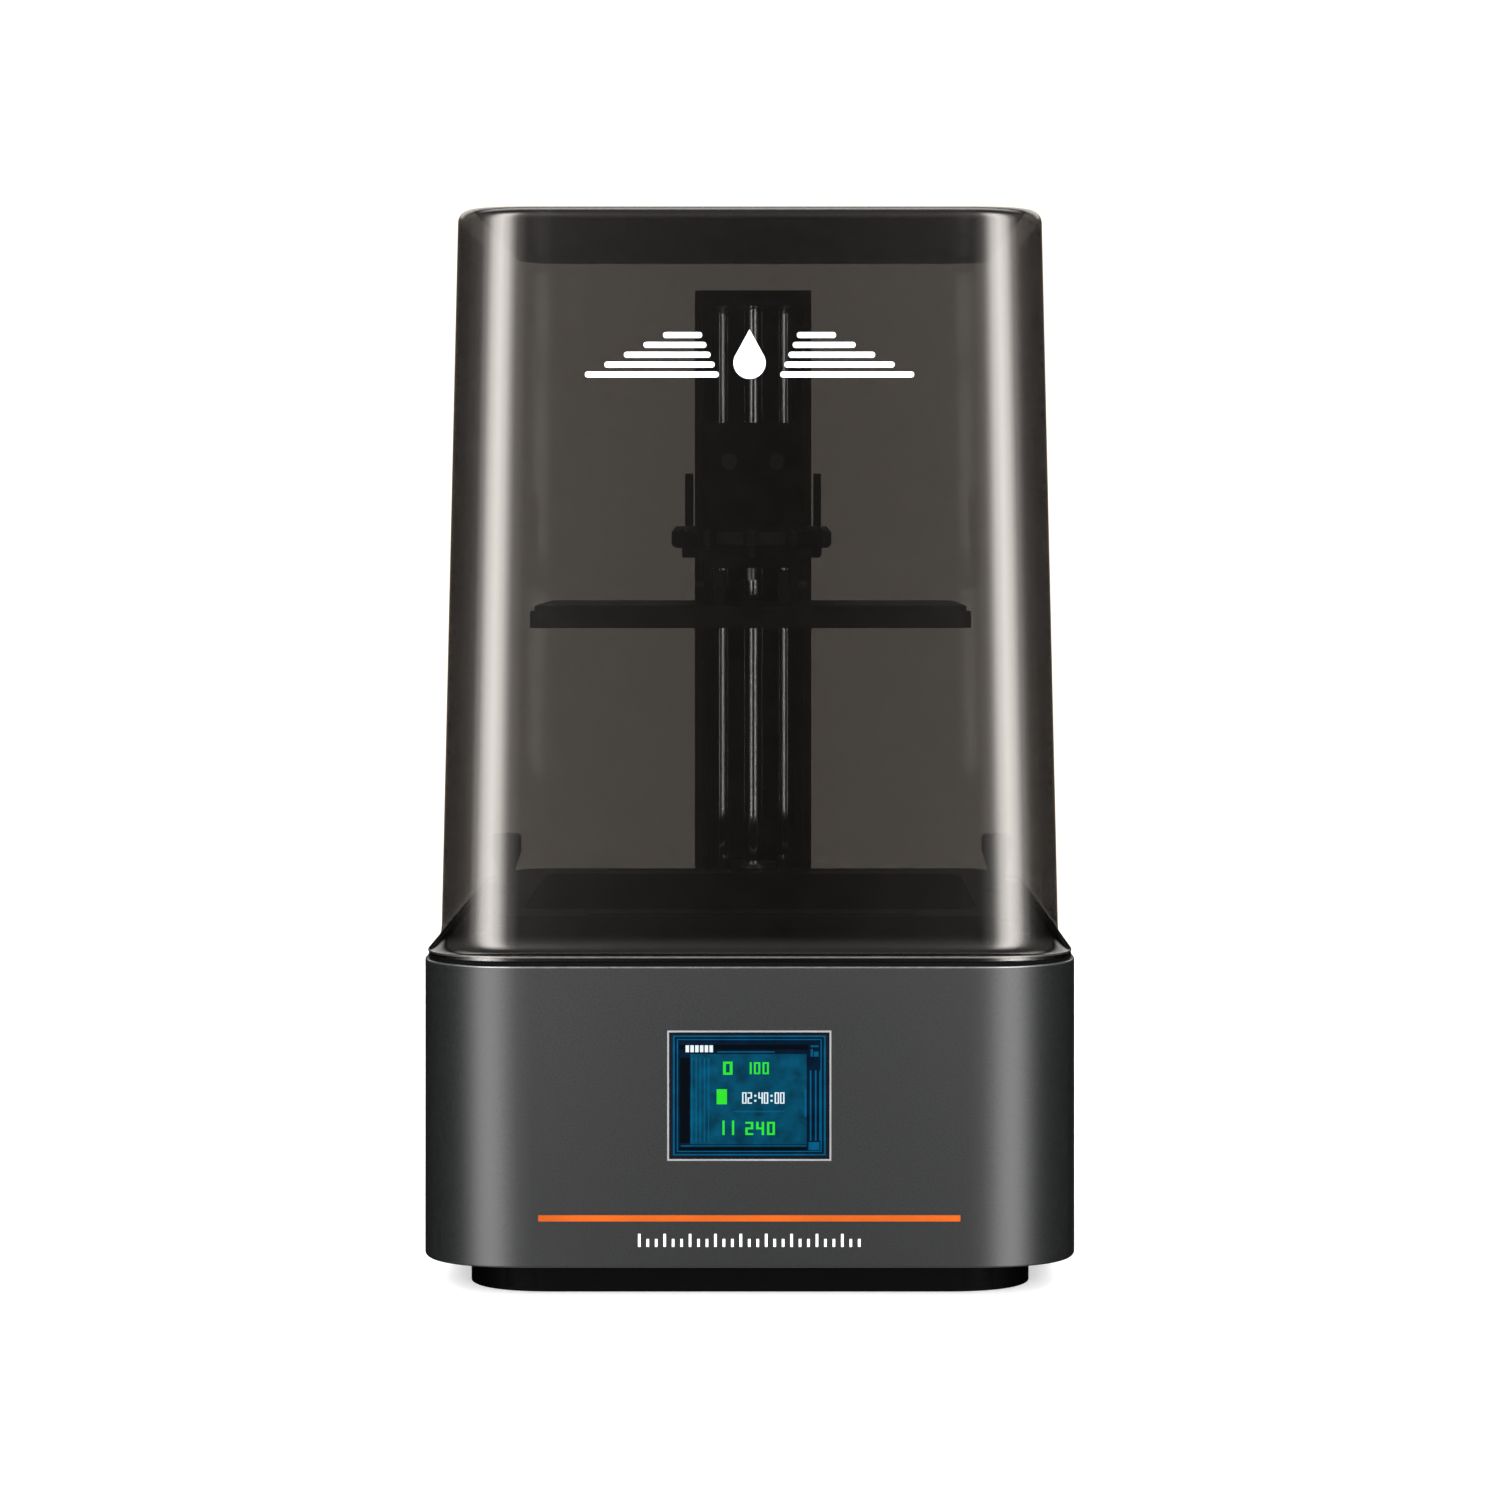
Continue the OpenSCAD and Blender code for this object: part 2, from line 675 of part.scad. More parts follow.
module z_endstop() {
    z0 = deck_z + 10;
    color([0.04, 0.04, 0.05]) {
        difference() {
            box([-5.5, 87, z0], [5.5, 95, z0 + 9]);
            box([-1.4, 86, z0 + 2], [1.4, 93.6, z0 + 10]);
        }
        box([-7, 93.4, z0 - 6], [7, 95, z0 + eps]);
    }
}

module motor_shaft() {
    color([0.8, 0.8, 0.82]) post(0, screw_y, 5, motor_z1 - 30, coupler_z + 10.4);
}

module shaft_coupler() {
    z0 = coupler_z;
    z1 = coupler_z + 24;
    color([0.7, 0.71, 0.74]) difference() {
        post(0, screw_y, 19, z0, z1);
        post(0, screw_y, 5 + 2 * snug, z0 - 1, z0 + 12);
        post(0, screw_y, screw_d + 2 * snug, z0 + 11, z1 + 1);
        // clamp slit and the two clamp screws' holes
        box([0, screw_y - 0.6, z1 - 9], [12, screw_y + 0.6, z1 + 1]);
        for (z = [z0 + 5, z1 - 5])
            translate([6.5, screw_y - 12, z]) rotate([-90, 0, 0]) cylinder(d = 2.6, h = 24);
    }
}

module lead_screw() {
    chamfer = 1;
    color([0.72, 0.72, 0.74]) translate([0, screw_y, 0]) {
        post(0, 0, screw_d, coupler_z + 12.4, cap_z + 4.5 - chamfer);
        translate([0, 0, cap_z + 4.5 - chamfer - eps])
            cylinder(d1 = screw_d, d2 = screw_d - 2 * chamfer, h = chamfer);
    }
}

// ---------- carriage and arm ----------

module carriage_block() {
    half = column_w / 2 - 3.5;
    color([0.07, 0.07, 0.075]) difference() {
        union() {
            box([-half, 64, block_z0], [half, 93, block_z1]);
            box([-15, 54, block_z0 + 4], [15, 64 + eps, block_z0 + 47]);
        }
        for (x = [-1, 1]) {
            post(x * rod_x, rod_y, 9.4, block_z0 - 1, block_z1 + 1);
            for (z = [block_z0, block_z1 - 12]) post(x * rod_x, rod_y, 11 + 2 * snug, z - 1, z + 13);
        }
        post(0, screw_y, 9, block_z0 - 1, block_z1 + 1);
        post(0, screw_y, 10.4 + 2 * snug, block_z0 - 1, block_z0 + 15);
        at_arm_screws() translate([0, 0, -12]) cylinder(d = 3.3, h = 9);
    }
}

module rod_bushes() {
    color([0.72, 0.52, 0.25]) for (x = [-1, 1], z = [block_z0, block_z1 - 12]) difference() {
        post(x * rod_x, rod_y, 11, z, z + 12);
        post(x * rod_x, rod_y, rod_d + 2 * snug, z - 1, z + 13);
    }
}

module drive_nut() {
    color([0.78, 0.6, 0.28]) difference() {
        union() {
            post(0, screw_y, 21, block_z0 - 3.6, block_z0);
            post(0, screw_y, 10.4, block_z0 - eps, block_z0 + 14);
        }
        post(0, screw_y, screw_d + 2 * snug, block_z0 - 5, block_z0 + 15);
        for (a = [0, 90, 180, 270]) translate([0, screw_y, 0]) rotate(a + 45)
            post(8, 0, 2.4, block_z0 - 5, block_z0 + 1);
    }
}

// Cast arm: a cross-member that wraps the column, two ears, and a forked shelf over the vat
module arm_bracket() {
    half = arm_w / 2;
    ear_in = half - ear_t;
    shelf_y0 = bed_y - 24;
    shelf_z1 = arm_z + arm_t;
    rib_x = shelf_w / 2 - 3.4;
    color([0.045, 0.045, 0.05]) difference() {
        union() {
            // plate that screws to the carriage
            box([-17, arm_seat_y, arm_z], [17, 54, block_z0 + 47]);
            // cross-member and its two wraps
            box([-half, 44, arm_z], [half, 54, arm_z + 12]);
            for (x = [-1, 1]) {
                box([x > 0 ? ear_in : -half, 54 - eps, arm_z], [x > 0 ? half : -ear_in, 76, arm_z + 12]);
                ear(x, half, arm_z + 12 - eps, ear_top);
            }
            // forked shelf and its ribs
            translate([0, (shelf_y0 + 46) / 2, 0]) slab(shelf_w, 46 - shelf_y0, 6, arm_z, shelf_z1);
            for (x = [-1, 1]) rib(x * rib_x, shelf_z1 - eps);
        }
        // fork that the platform's stud slides into
        post(0, bed_y, 8.6, arm_z - 1, shelf_z1 + 1);
        box([-4.3, shelf_y0 - 1, arm_z - 1], [4.3, bed_y, shelf_z1 + 1]);
        at_arm_screws() {
            translate([0, 0, -5]) cylinder(d = 4.2, h = 6);
            cylinder(d = arm_head_d + 0.8, h = 7);
        }
    }
}

// One ear of the arm, with round upper corners
module ear(x, half, z0, z1) {
    r = 4;
    inner = x * (half - ear_t);
    translate([x > 0 ? inner : -half, 0, 0]) rotate([90, 0, 90]) linear_extrude(ear_t) {
        translate([58, z0]) square([18, z1 - z0 - r]);
        translate([58 + r, z0]) square([18 - 2 * r, z1 - z0]);
        for (y = [58 + r, 76 - r]) translate([y, z1 - r]) circle(r);
    }
}

// Web that stiffens the shelf, tall at the column and low at its tip
module rib(x, z0) {
    translate([x - 1.2, 0, 0]) rotate([90, 0, 90]) linear_extrude(2.4)
        polygon([[10, z0], [46, z0], [46, z0 + 9], [40, z0 + 8]]);
}

module arm_screws() {
    color([0.4, 0.4, 0.42]) at_arm_screws() cap_screw(3.2, 11, arm_head_d, 3);
}

module endstop_flag() {
    color([0.6, 0.6, 0.62]) box([-0.6, 88.5, block_z0 - 16], [0.6, 92.6, block_z0]);
}

// ---------- platform ----------

module platform_hanger() {
    y0 = bed_y - hanger_l / 2;
    y1 = bed_y + hanger_l / 2;
    half = hanger_w / 2;
    cheek = 3;
    top = arm_z;
    bottom = plate_z + plate_t + 1;
    slot_w = 5;
    color([0.06, 0.06, 0.065]) difference() {
        box([-half, y0, bottom], [half, y1, top]);
        box([-half + cheek, y0 - 1, bottom - 1], [half - cheek, y1 + 1, top - hanger_t]);
        post(0, bed_y, 8.2, top - hanger_t - 1, top + 1);
        translate([-half - 1, bed_y, pivot_z]) rotate([0, 90, 0])
            cylinder(d = pivot_d + 2 * snug, h = hanger_w + 2);
        for (y = [-1, 1]) translate([-half - 1, bed_y + y * level_y, pivot_z]) rotate([0, 90, 0]) {
            for (dz = [-1.2, 1.2]) translate([dz, 0, 0]) cylinder(d = slot_w, h = hanger_w + 2);
            translate([-1.2, -slot_w / 2, 0]) cube([2.4, slot_w, hanger_w + 2]);
        }
    }
}

// Hand knob with finger flutes
module platform_knob() {
    flutes = 12;
    color([0.05, 0.05, 0.055]) translate([0, bed_y, knob_z + snug]) difference() {
        rotate_extrude() polygon([[0, 0], [knob_d / 2 - 1.4, 0], [knob_d / 2, 1.4],
            [knob_d / 2, knob_t - 2.2], [knob_d / 2 - 2, knob_t], [0, knob_t]]);
        for (i = [0:flutes - 1]) rotate(i * 360 / flutes) post(knob_d / 2 + 3.4, 0, 9, -1, knob_t + 1);
        post(0, 0, 8.1, -1, knob_t - 1.5);
        // dished top
        difference() {
            post(0, 0, 44, knob_t - 1.2, knob_t + 1);
            post(0, 0, 18, knob_t - 2, knob_t + 2);
        }
    }
}

module knob_stud() {
    color([0.7, 0.7, 0.72]) post(0, bed_y, 8, arm_z - 9, knob_z + knob_t - 1.6);
}

// Platform plate with sloping upper edges, and two lugs with pivot pins that the levelling screws clamp
module build_platform() {
    slope = 1.6;
    r = 5;
    lug_x0 = hanger_w / 2 - 7.5;
    lug_x1 = hanger_w / 2 - 3.5;
    color([0.6, 0.61, 0.63]) translate([0, bed_y, 0]) difference() {
        union() {
            slab(plate_w, plate_d, r, plate_z, plate_z + plate_t - 2);
            slab(plate_w - 2 * slope, plate_d - 2 * slope, r, plate_z, plate_z + plate_t);
            for (x = [-1, 1]) {
                box([min(x * lug_x0, x * lug_x1), -20, plate_z + plate_t - eps],
                    [max(x * lug_x0, x * lug_x1), 20, plate_z + plate_t + 12.5]);
                translate([x * lug_x0, 0, pivot_z]) rotate([0, x * 90, 0])
                    cylinder(d = pivot_d, h = hanger_w / 2 - lug_x0 - 0.2);
            }
        }
        for (x = [-1, 1], y = [-1, 1]) translate([x * lug_x1, y * level_y, pivot_z])
            rotate([0, -x * 90, 0]) translate([0, 0, -1]) cylinder(d = 4.1, h = 6);
    }
}

module level_screws() {
    half = hanger_w / 2;
    color([0.5, 0.5, 0.52]) for (x = [-1, 1], y = [-1, 1])
        translate([x * (half + 0.2), bed_y + y * level_y, pivot_z]) rotate([0, x * 90, 0])
            cap_screw(4, 7.5, 7, 3.4);
}

// ---------- vat ----------

module vat_frame() {
    tub_w = 169;
    tub_d = 104;
    clamp_z = film_z + film_t;
    color([0.12, 0.12, 0.125]) translate([0, bed_y, 0]) difference() {
        slab(vat_w, vat_d, 14, deck_z + 0.05, vat_z1);
        slab(tub_w, tub_d, 8, deck_z - 1, vat_z1 + 1);
        slab(178, 116, 10, deck_z - 1, clamp_z);
        // stepped outer face under the rim's flange
        ring_slab(vat_w + 2, vat_d + 2, 14, vat_w - 24, vat_d - 8, 10, clamp_z + 4, vat_z1 - 4);
        // long reliefs milled into the front and back rims
        for (y = [-1, 1]) translate([0, y * (vat_d / 2 - 4), 0]) slab(120, 3, 1.4, vat_z1 - 2, vat_z1 + 1);
        for (x = [-1, 1]) post(x * thumb_x(), 0, 5.6, deck_z - 1, vat_z1 + 1);
        at_film_screws() post(0, 0, 1.7, clamp_z - 1, clamp_z + 4);
    }
}

// Places its children at the film ring's screws
module at_film_screws() {
    for (x = [-66, -33, 0, 33, 66], y = [-1, 1]) translate([x, y * 55, 0]) children();
    for (x = [-1, 1], y = [-33, 0, 33]) translate([x * 86.7, y, 0]) children();
}

module vat_film() {
    color([0.85, 0.88, 0.9, 0.5]) translate([0, bed_y, 0]) difference() {
        slab(177, 115, 9.5, film_z, film_z + film_t);
        at_film_screws() post(0, 0, 1.9, film_z - 1, film_z + 1);
    }
}

module film_ring() {
    color([0.6, 0.6, 0.62]) translate([0, bed_y, 0]) difference() {
        ring_slab(177, 115, 9.5, 169.6, 104.6, 5.5, film_z - 3, film_z);
        at_film_screws() post(0, 0, 1.9, film_z - 4, film_z + 1);
    }
}

module film_screws() {
    color([0.4, 0.4, 0.42]) translate([0, bed_y, 0]) at_film_screws()
        translate([0, 0, film_z - 3]) rotate([180, 0, 0]) cap_screw(1.6, 5.5, 2.9, 1.2);
}

// Knurled thumb screw that clamps the vat to the deck
module thumb_screw() {
    z = vat_z1 + 0.05;
    grips = 18;
    color([0.09, 0.09, 0.1]) difference() {
        union() {
            translate([0, 0, z]) rotate_extrude() polygon([[0, 0], [4.4, 0], [4.4, 1], [3.5, 2],
                [3.5, 8], [5.8, 15.4], [5.8, 21.2], [5, 22], [0, 22]]);
            post(0, 0, 5, deck_z - 8, z + eps);
        }
        for (i = [0:grips - 1]) rotate(i * 360 / grips) post(6.3, 0, 1.4, z + 14, z + 23);
        translate([0, 0, z + 21]) cylinder(d = 6, h = 2);
    }
}

module thumb_screw_left() {
    translate([-thumb_x(), bed_y, 0]) thumb_screw();
}

module thumb_screw_right() {
    translate([thumb_x(), bed_y, 0]) thumb_screw();
}

// ---------- hood ----------

CORNER_STEPS = 8;       // facets in each plan corner
ARC_STEPS = 5;          // rings in the flare and in the top edge

draft_run = tan(draft);
flare_half = atan(flare_w / (flare_h - rim_h));
flare_r = (flare_h - rim_h) / sin(2 * flare_half);
top_inset = flare_w + (total_h - top_r - hood_z0 - flare_h) * draft_run;

// One level of the hood: how far its wall stands in from the base's edge, and its height
function hood_inset(z) = flare_w + (z - hood_z0 - flare_h) * draft_run;
function flare_ring(t) = let (a = 2 * flare_half * (1 - t))
    [flare_w - flare_r * (1 - cos(a)), hood_z0 + flare_h - flare_r * sin(a)];
function top_ring(t, r, inset, z) = [inset + r * (1 - cos(90 * t)), z - r + r * sin(90 * t)];

OUTER = concat(
    [[0.4, hood_z0]],
    [[0, hood_z0 + 0.4]],
    [for (i = [0:ARC_STEPS]) flare_ring(i / ARC_STEPS)],
    [for (i = [0:ARC_STEPS]) top_ring(i / ARC_STEPS, top_r, top_inset, total_h)]);
INNER = concat(
    [for (i = [ARC_STEPS:-1:0]) top_ring(i / ARC_STEPS, 2, top_inset + wall, total_h - wall)],
    [[flare_w + wall, hood_z0 + flare_h], [wall + 3.4, hood_z0 + 4], [wall + 3, hood_z0 - lip_h],
        [wall + 0.5, hood_z0 - lip_h], [wall + 0.5, hood_z0]]);

// Rounded-rectangle ring of points at a level [inset, z]
function hood_ring(level) = let (
        i = level[0], r = corner_r - 0.85 * i, x = side - i - r, y = back - i - r)
    [for (q = [0:3], k = [0:CORNER_STEPS]) let (a = 90 * q + 90 * k / CORNER_STEPS,
            sx = (q == 0 || q == 3) ? 1 : -1, sy = q < 2 ? 1 : -1)
        [sx * x + r * cos(a), sy * y + r * sin(a), level[1]]];

module hood() {
    levels = concat(OUTER, INNER);
    n = 4 * (CORNER_STEPS + 1);
    count = len(levels);
    points = [for (l = levels) each hood_ring(l)];
    top_row = len(OUTER) - 1;
    skin = [for (i = [0:count - 1], k = [0:n - 1]) if (i != top_row)
        [i * n + k, ((i + 1) % count) * n + k, ((i + 1) % count) * n + (k + 1) % n, i * n + (k + 1) % n]];
    caps = [[for (k = [n - 1:-1:0]) top_row * n + k], [for (k = [0:n - 1]) (top_row + 1) * n + k]];
    color([0.17, 0.15, 0.13, 0.6]) polyhedron(points, concat(skin, caps), convexity = 6);
}

// ---------- drawing ----------

housing_shell();
bottom_pan();
rubber_feet();
pan_screws();
deck_plate();
deck_screws();
cover_seal();
display_bezel();
display_glass();
display_module();
accent_strip();
exposure_lcd();
lcd_tape_frame();
lcd_carrier();
collimator_lens();
light_hood();
led_board();
led_domes();
heatsink();
led_fan_frame();
led_fan_rotor();
exhaust_fan_frame();
exhaust_fan_rotor();
exhaust_grille();
mainboard();
board_parts();
usb_port();
power_inlet();
switch_frame();
power_rocker();
z_motor();
motor_mount();
motor_cable();
z_column();
column_cap();
guide_rods();
top_bearing();
z_endstop();
motor_shaft();
shaft_coupler();
lead_screw();
carriage_block();
rod_bushes();
drive_nut();
arm_bracket();
arm_screws();
endstop_flag();
platform_hanger();
platform_knob();
knob_stud();
build_platform();
level_screws();
vat_frame();
vat_film();
film_ring();
film_screws();
thumb_screw_left();
thumb_screw_right();
hood();
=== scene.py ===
"""Looks of the desktop resin printer: a smoked hood over a build platform and vat, on a base.

Everything is in metres in the CAD frame: +Z up, the front faces -Y, and +X is to the right seen
from the front.
"""
import json
import math

import bmesh
import bpy
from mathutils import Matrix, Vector


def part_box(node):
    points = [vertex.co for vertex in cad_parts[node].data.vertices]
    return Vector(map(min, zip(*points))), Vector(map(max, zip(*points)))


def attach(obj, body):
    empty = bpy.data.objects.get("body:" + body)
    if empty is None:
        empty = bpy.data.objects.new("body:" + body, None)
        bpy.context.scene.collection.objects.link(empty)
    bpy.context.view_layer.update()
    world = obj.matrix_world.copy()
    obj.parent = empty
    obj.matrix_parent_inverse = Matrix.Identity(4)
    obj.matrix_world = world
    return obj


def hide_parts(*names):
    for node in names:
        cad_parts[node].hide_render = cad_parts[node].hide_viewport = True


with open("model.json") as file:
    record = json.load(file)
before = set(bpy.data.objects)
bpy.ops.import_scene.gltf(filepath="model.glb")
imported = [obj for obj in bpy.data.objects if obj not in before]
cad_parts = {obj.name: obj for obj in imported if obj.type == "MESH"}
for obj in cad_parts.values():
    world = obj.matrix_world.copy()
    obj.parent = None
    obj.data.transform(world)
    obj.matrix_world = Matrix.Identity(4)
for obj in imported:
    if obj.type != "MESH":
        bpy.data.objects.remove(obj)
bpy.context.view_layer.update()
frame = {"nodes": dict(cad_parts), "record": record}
MM = 0.001
scene = bpy.context.scene

# ---------- driving dimensions, taken from the frame ----------

SHELL_LOW, SHELL_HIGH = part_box("housing_shell")
HOOD_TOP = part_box("hood")[1].z
SEAT_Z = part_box("cover_seal")[1].z
HALF_X = SHELL_HIGH.x
HALF_Y = SHELL_HIGH.y
FRONT = SHELL_LOW.y
WALL = 3 * MM
HOOD_RUN = 32.7 * MM        # length of the softened corner along the front, with no inset
BASE_EXTRA = 7.8 * MM       # how much longer it is on the base
CORNER_DEEP = 0.62          # its length along the side, as a share of that along the front
CORNER_POWER = 2.4          # exponent of the softened corner's superellipse
CORNER_STEPS = 20
RUN_PER_INSET = 0.5         # how much shorter the corner gets, as a share of the inset
EXTRA_FADE = 5 * MM         # the inset at which BASE_EXTRA has faded out
SHELL_EDGE = 0.6 * MM       # rounding of the base's upper edge
SHELL_FOOT = 0.8 * MM       # rounding of its lower edge
FLARE_H = 8.8 * MM          # the hood's wall curves outwards over this height at its foot
FLARE_W = 6.0 * MM          # how far the wall above the flare stands in from the base's side
FOOT_IN = 1.1 * MM          # how far the hood's foot stands in from the base
RIM_H = 0.8 * MM            # upright rim at the hood's foot
LIP_H = 1.4 * MM            # recessed lip below the rim
LIP_IN = 1.2 * MM           # how far it is recessed
FLARE_TOP = SEAT_Z + LIP_H + RIM_H + FLARE_H
DRAFT = math.tan(math.radians(1.22))    # the hood's wall leans in by this much per unit of height
TOP_R = 5 * MM
INNER_TOP_R = 2 * MM

# ---------- camera ----------

CAMERA_DISTANCE = 0.95      # from the base's front face
CAMERA_HEIGHT = 0.273
CAMERA_SIDE = 0.0085
CAMERA_LENS = 64.3
CAMERA_SHIFT = (-0.0155, -0.1433)


def make_camera():
    """A level camera in front, with its frame shifted as in the photograph."""
    camera = bpy.data.objects.new("camera", bpy.data.cameras.new("camera"))
    scene.collection.objects.link(camera)
    camera.location = (CAMERA_SIDE, FRONT - CAMERA_DISTANCE, CAMERA_HEIGHT)
    camera.rotation_euler = (math.radians(90), 0, 0)
    camera.data.lens = CAMERA_LENS
    camera.data.shift_x, camera.data.shift_y = CAMERA_SHIFT
    camera.data.clip_start = 0.01
    scene.camera = camera


make_camera()

# ---------- materials ----------


def node_material(name):
    """A new material, its node tree and its shader."""
    material = bpy.data.materials.new(name)
    material.use_nodes = True
    tree = material.node_tree
    return material, tree, tree.nodes["Principled BSDF"]


def link(tree, out, into):
    """Joins one node's output to another's input."""
    tree.links.new(out, into)


def noise(tree, scale, stretch=(1, 1, 1), detail=3):
    """A noise value over the object's own coordinates, in cells per metre."""
    place = tree.nodes.new("ShaderNodeTexCoord")
    size = tree.nodes.new("ShaderNodeMapping")
    size.inputs["Scale"].default_value = stretch
    cells = tree.nodes.new("ShaderNodeTexNoise")
    cells.inputs["Scale"].default_value = scale
    cells.inputs["Detail"].default_value = detail
    link(tree, place.outputs["Object"], size.inputs["Vector"])
    link(tree, size.outputs["Vector"], cells.inputs["Vector"])
    return cells.outputs[0]


def spread(tree, value, low, high):
    """Maps a noise value onto a range."""
    node = tree.nodes.new("ShaderNodeMapRange")
    node.inputs["From Min"].default_value = 0.3
    node.inputs["From Max"].default_value = 0.7
    node.inputs["To Min"].default_value = low
    node.inputs["To Max"].default_value = high
    link(tree, value, node.inputs["Value"])
    return node.outputs["Result"]


def tint(tree, value, colour, amount):
    """A colour that wanders by amount, as a share, round colour."""
    ramp = tree.nodes.new("ShaderNodeValToRGB")
    ramp.color_ramp.elements[0].position = 0.3
    ramp.color_ramp.elements[1].position = 0.7
    ramp.color_ramp.elements[0].color = [c * (1 - amount) for c in colour] + [1]
    ramp.color_ramp.elements[1].color = [min(1, c * (1 + amount)) for c in colour] + [1]
    link(tree, value, ramp.inputs["Fac"])
    return ramp.outputs["Color"]


def bump(tree, shader, height, depth):
    """Gives a shader relief of a depth from a height value."""
    node = tree.nodes.new("ShaderNodeBump")
    node.inputs["Strength"].default_value = 1
    node.inputs["Distance"].default_value = depth
    link(tree, height, node.inputs["Height"])
    link(tree, node.outputs["Normal"], shader.inputs["Normal"])


def finish_of(name, colour, rough, grain=900, amount=0.12, depth=0.01 * MM, metallic=0.0,
              stretch=(1, 1, 1), cloud=40, **sockets):
    """A surface with broad colour drift, and fine grain in its roughness and relief."""
    material, tree, shader = node_material(name)
    drift = noise(tree, cloud)
    fine = noise(tree, grain, stretch)
    link(tree, tint(tree, drift, colour, amount), shader.inputs["Base Color"])
    link(tree, spread(tree, fine, rough * 0.88, rough * 1.12), shader.inputs["Roughness"])
    bump(tree, shader, fine, depth)
    shader.inputs["Metallic"].default_value = metallic
    for socket, value in sockets.items():
        shader.inputs[socket.replace("_", " ")].default_value = value
    return material


def plastic(name, colour, rough=0.45, grain=1400, depth=0.012 * MM, **more):
    """Moulded plastic or rubber."""
    return finish_of(name, colour, rough, grain, 0.15, depth, **more)


def blasted(name, colour, rough=0.42, grain=2600, depth=0.01 * MM, **more):
    """Metal with a fine blasted grain."""
    return finish_of(name, colour, rough, grain, 0.1, depth, metallic=1.0, **more)


def drawn(name, colour, rough=0.28, stretch=(1, 1, 0.02), grain=3000, **more):
    """Metal with fine lines along one axis."""
    return finish_of(name, colour, rough, grain, 0.1, 0.004 * MM, metallic=1.0,
                     stretch=stretch, **more)


def polished(name, colour, rough=0.12, **more):
    """Smooth bright metal."""
    return finish_of(name, colour, rough, 500, 0.06, 0.002 * MM, metallic=1.0, **more)


def see_through(name, colour, alpha, rough=0.05, **more):
    """A clear skin: its shading fades by a plain alpha."""
    material = finish_of(name, colour, rough, 120, 0.1, 0.001 * MM, **more)
    material.node_tree.nodes["Principled BSDF"].inputs["Alpha"].default_value = alpha
    return material


SMOKE = (0.0006, 0.0004, 0.0003)


def smoked(name, alpha):
    """The hood's tinted plastic, with slightly warm reflections."""
    return see_through(name, SMOKE, alpha, 0.09, Specular_IOR_Level=1.0,
                       Specular_Tint=(1, 0.95, 0.9, 1))


def lit(name, colour, drift=0.06):
    """A glowing display colour that wanders slightly, like a backlight."""
    material, tree, shader = node_material(name)
    shader.inputs["Roughness"].default_value = 0.16
    shader.inputs["Specular IOR Level"].default_value = 0.15
    dim = [c * 0.02 for c in colour]
    link(tree, tint(tree, noise(tree, 160), dim, drift), shader.inputs["Base Color"])
    link(tree, tint(tree, noise(tree, 160), colour, drift), shader.inputs["Emission Color"])
    shader.inputs["Emission Strength"].default_value = 1.0
    return material


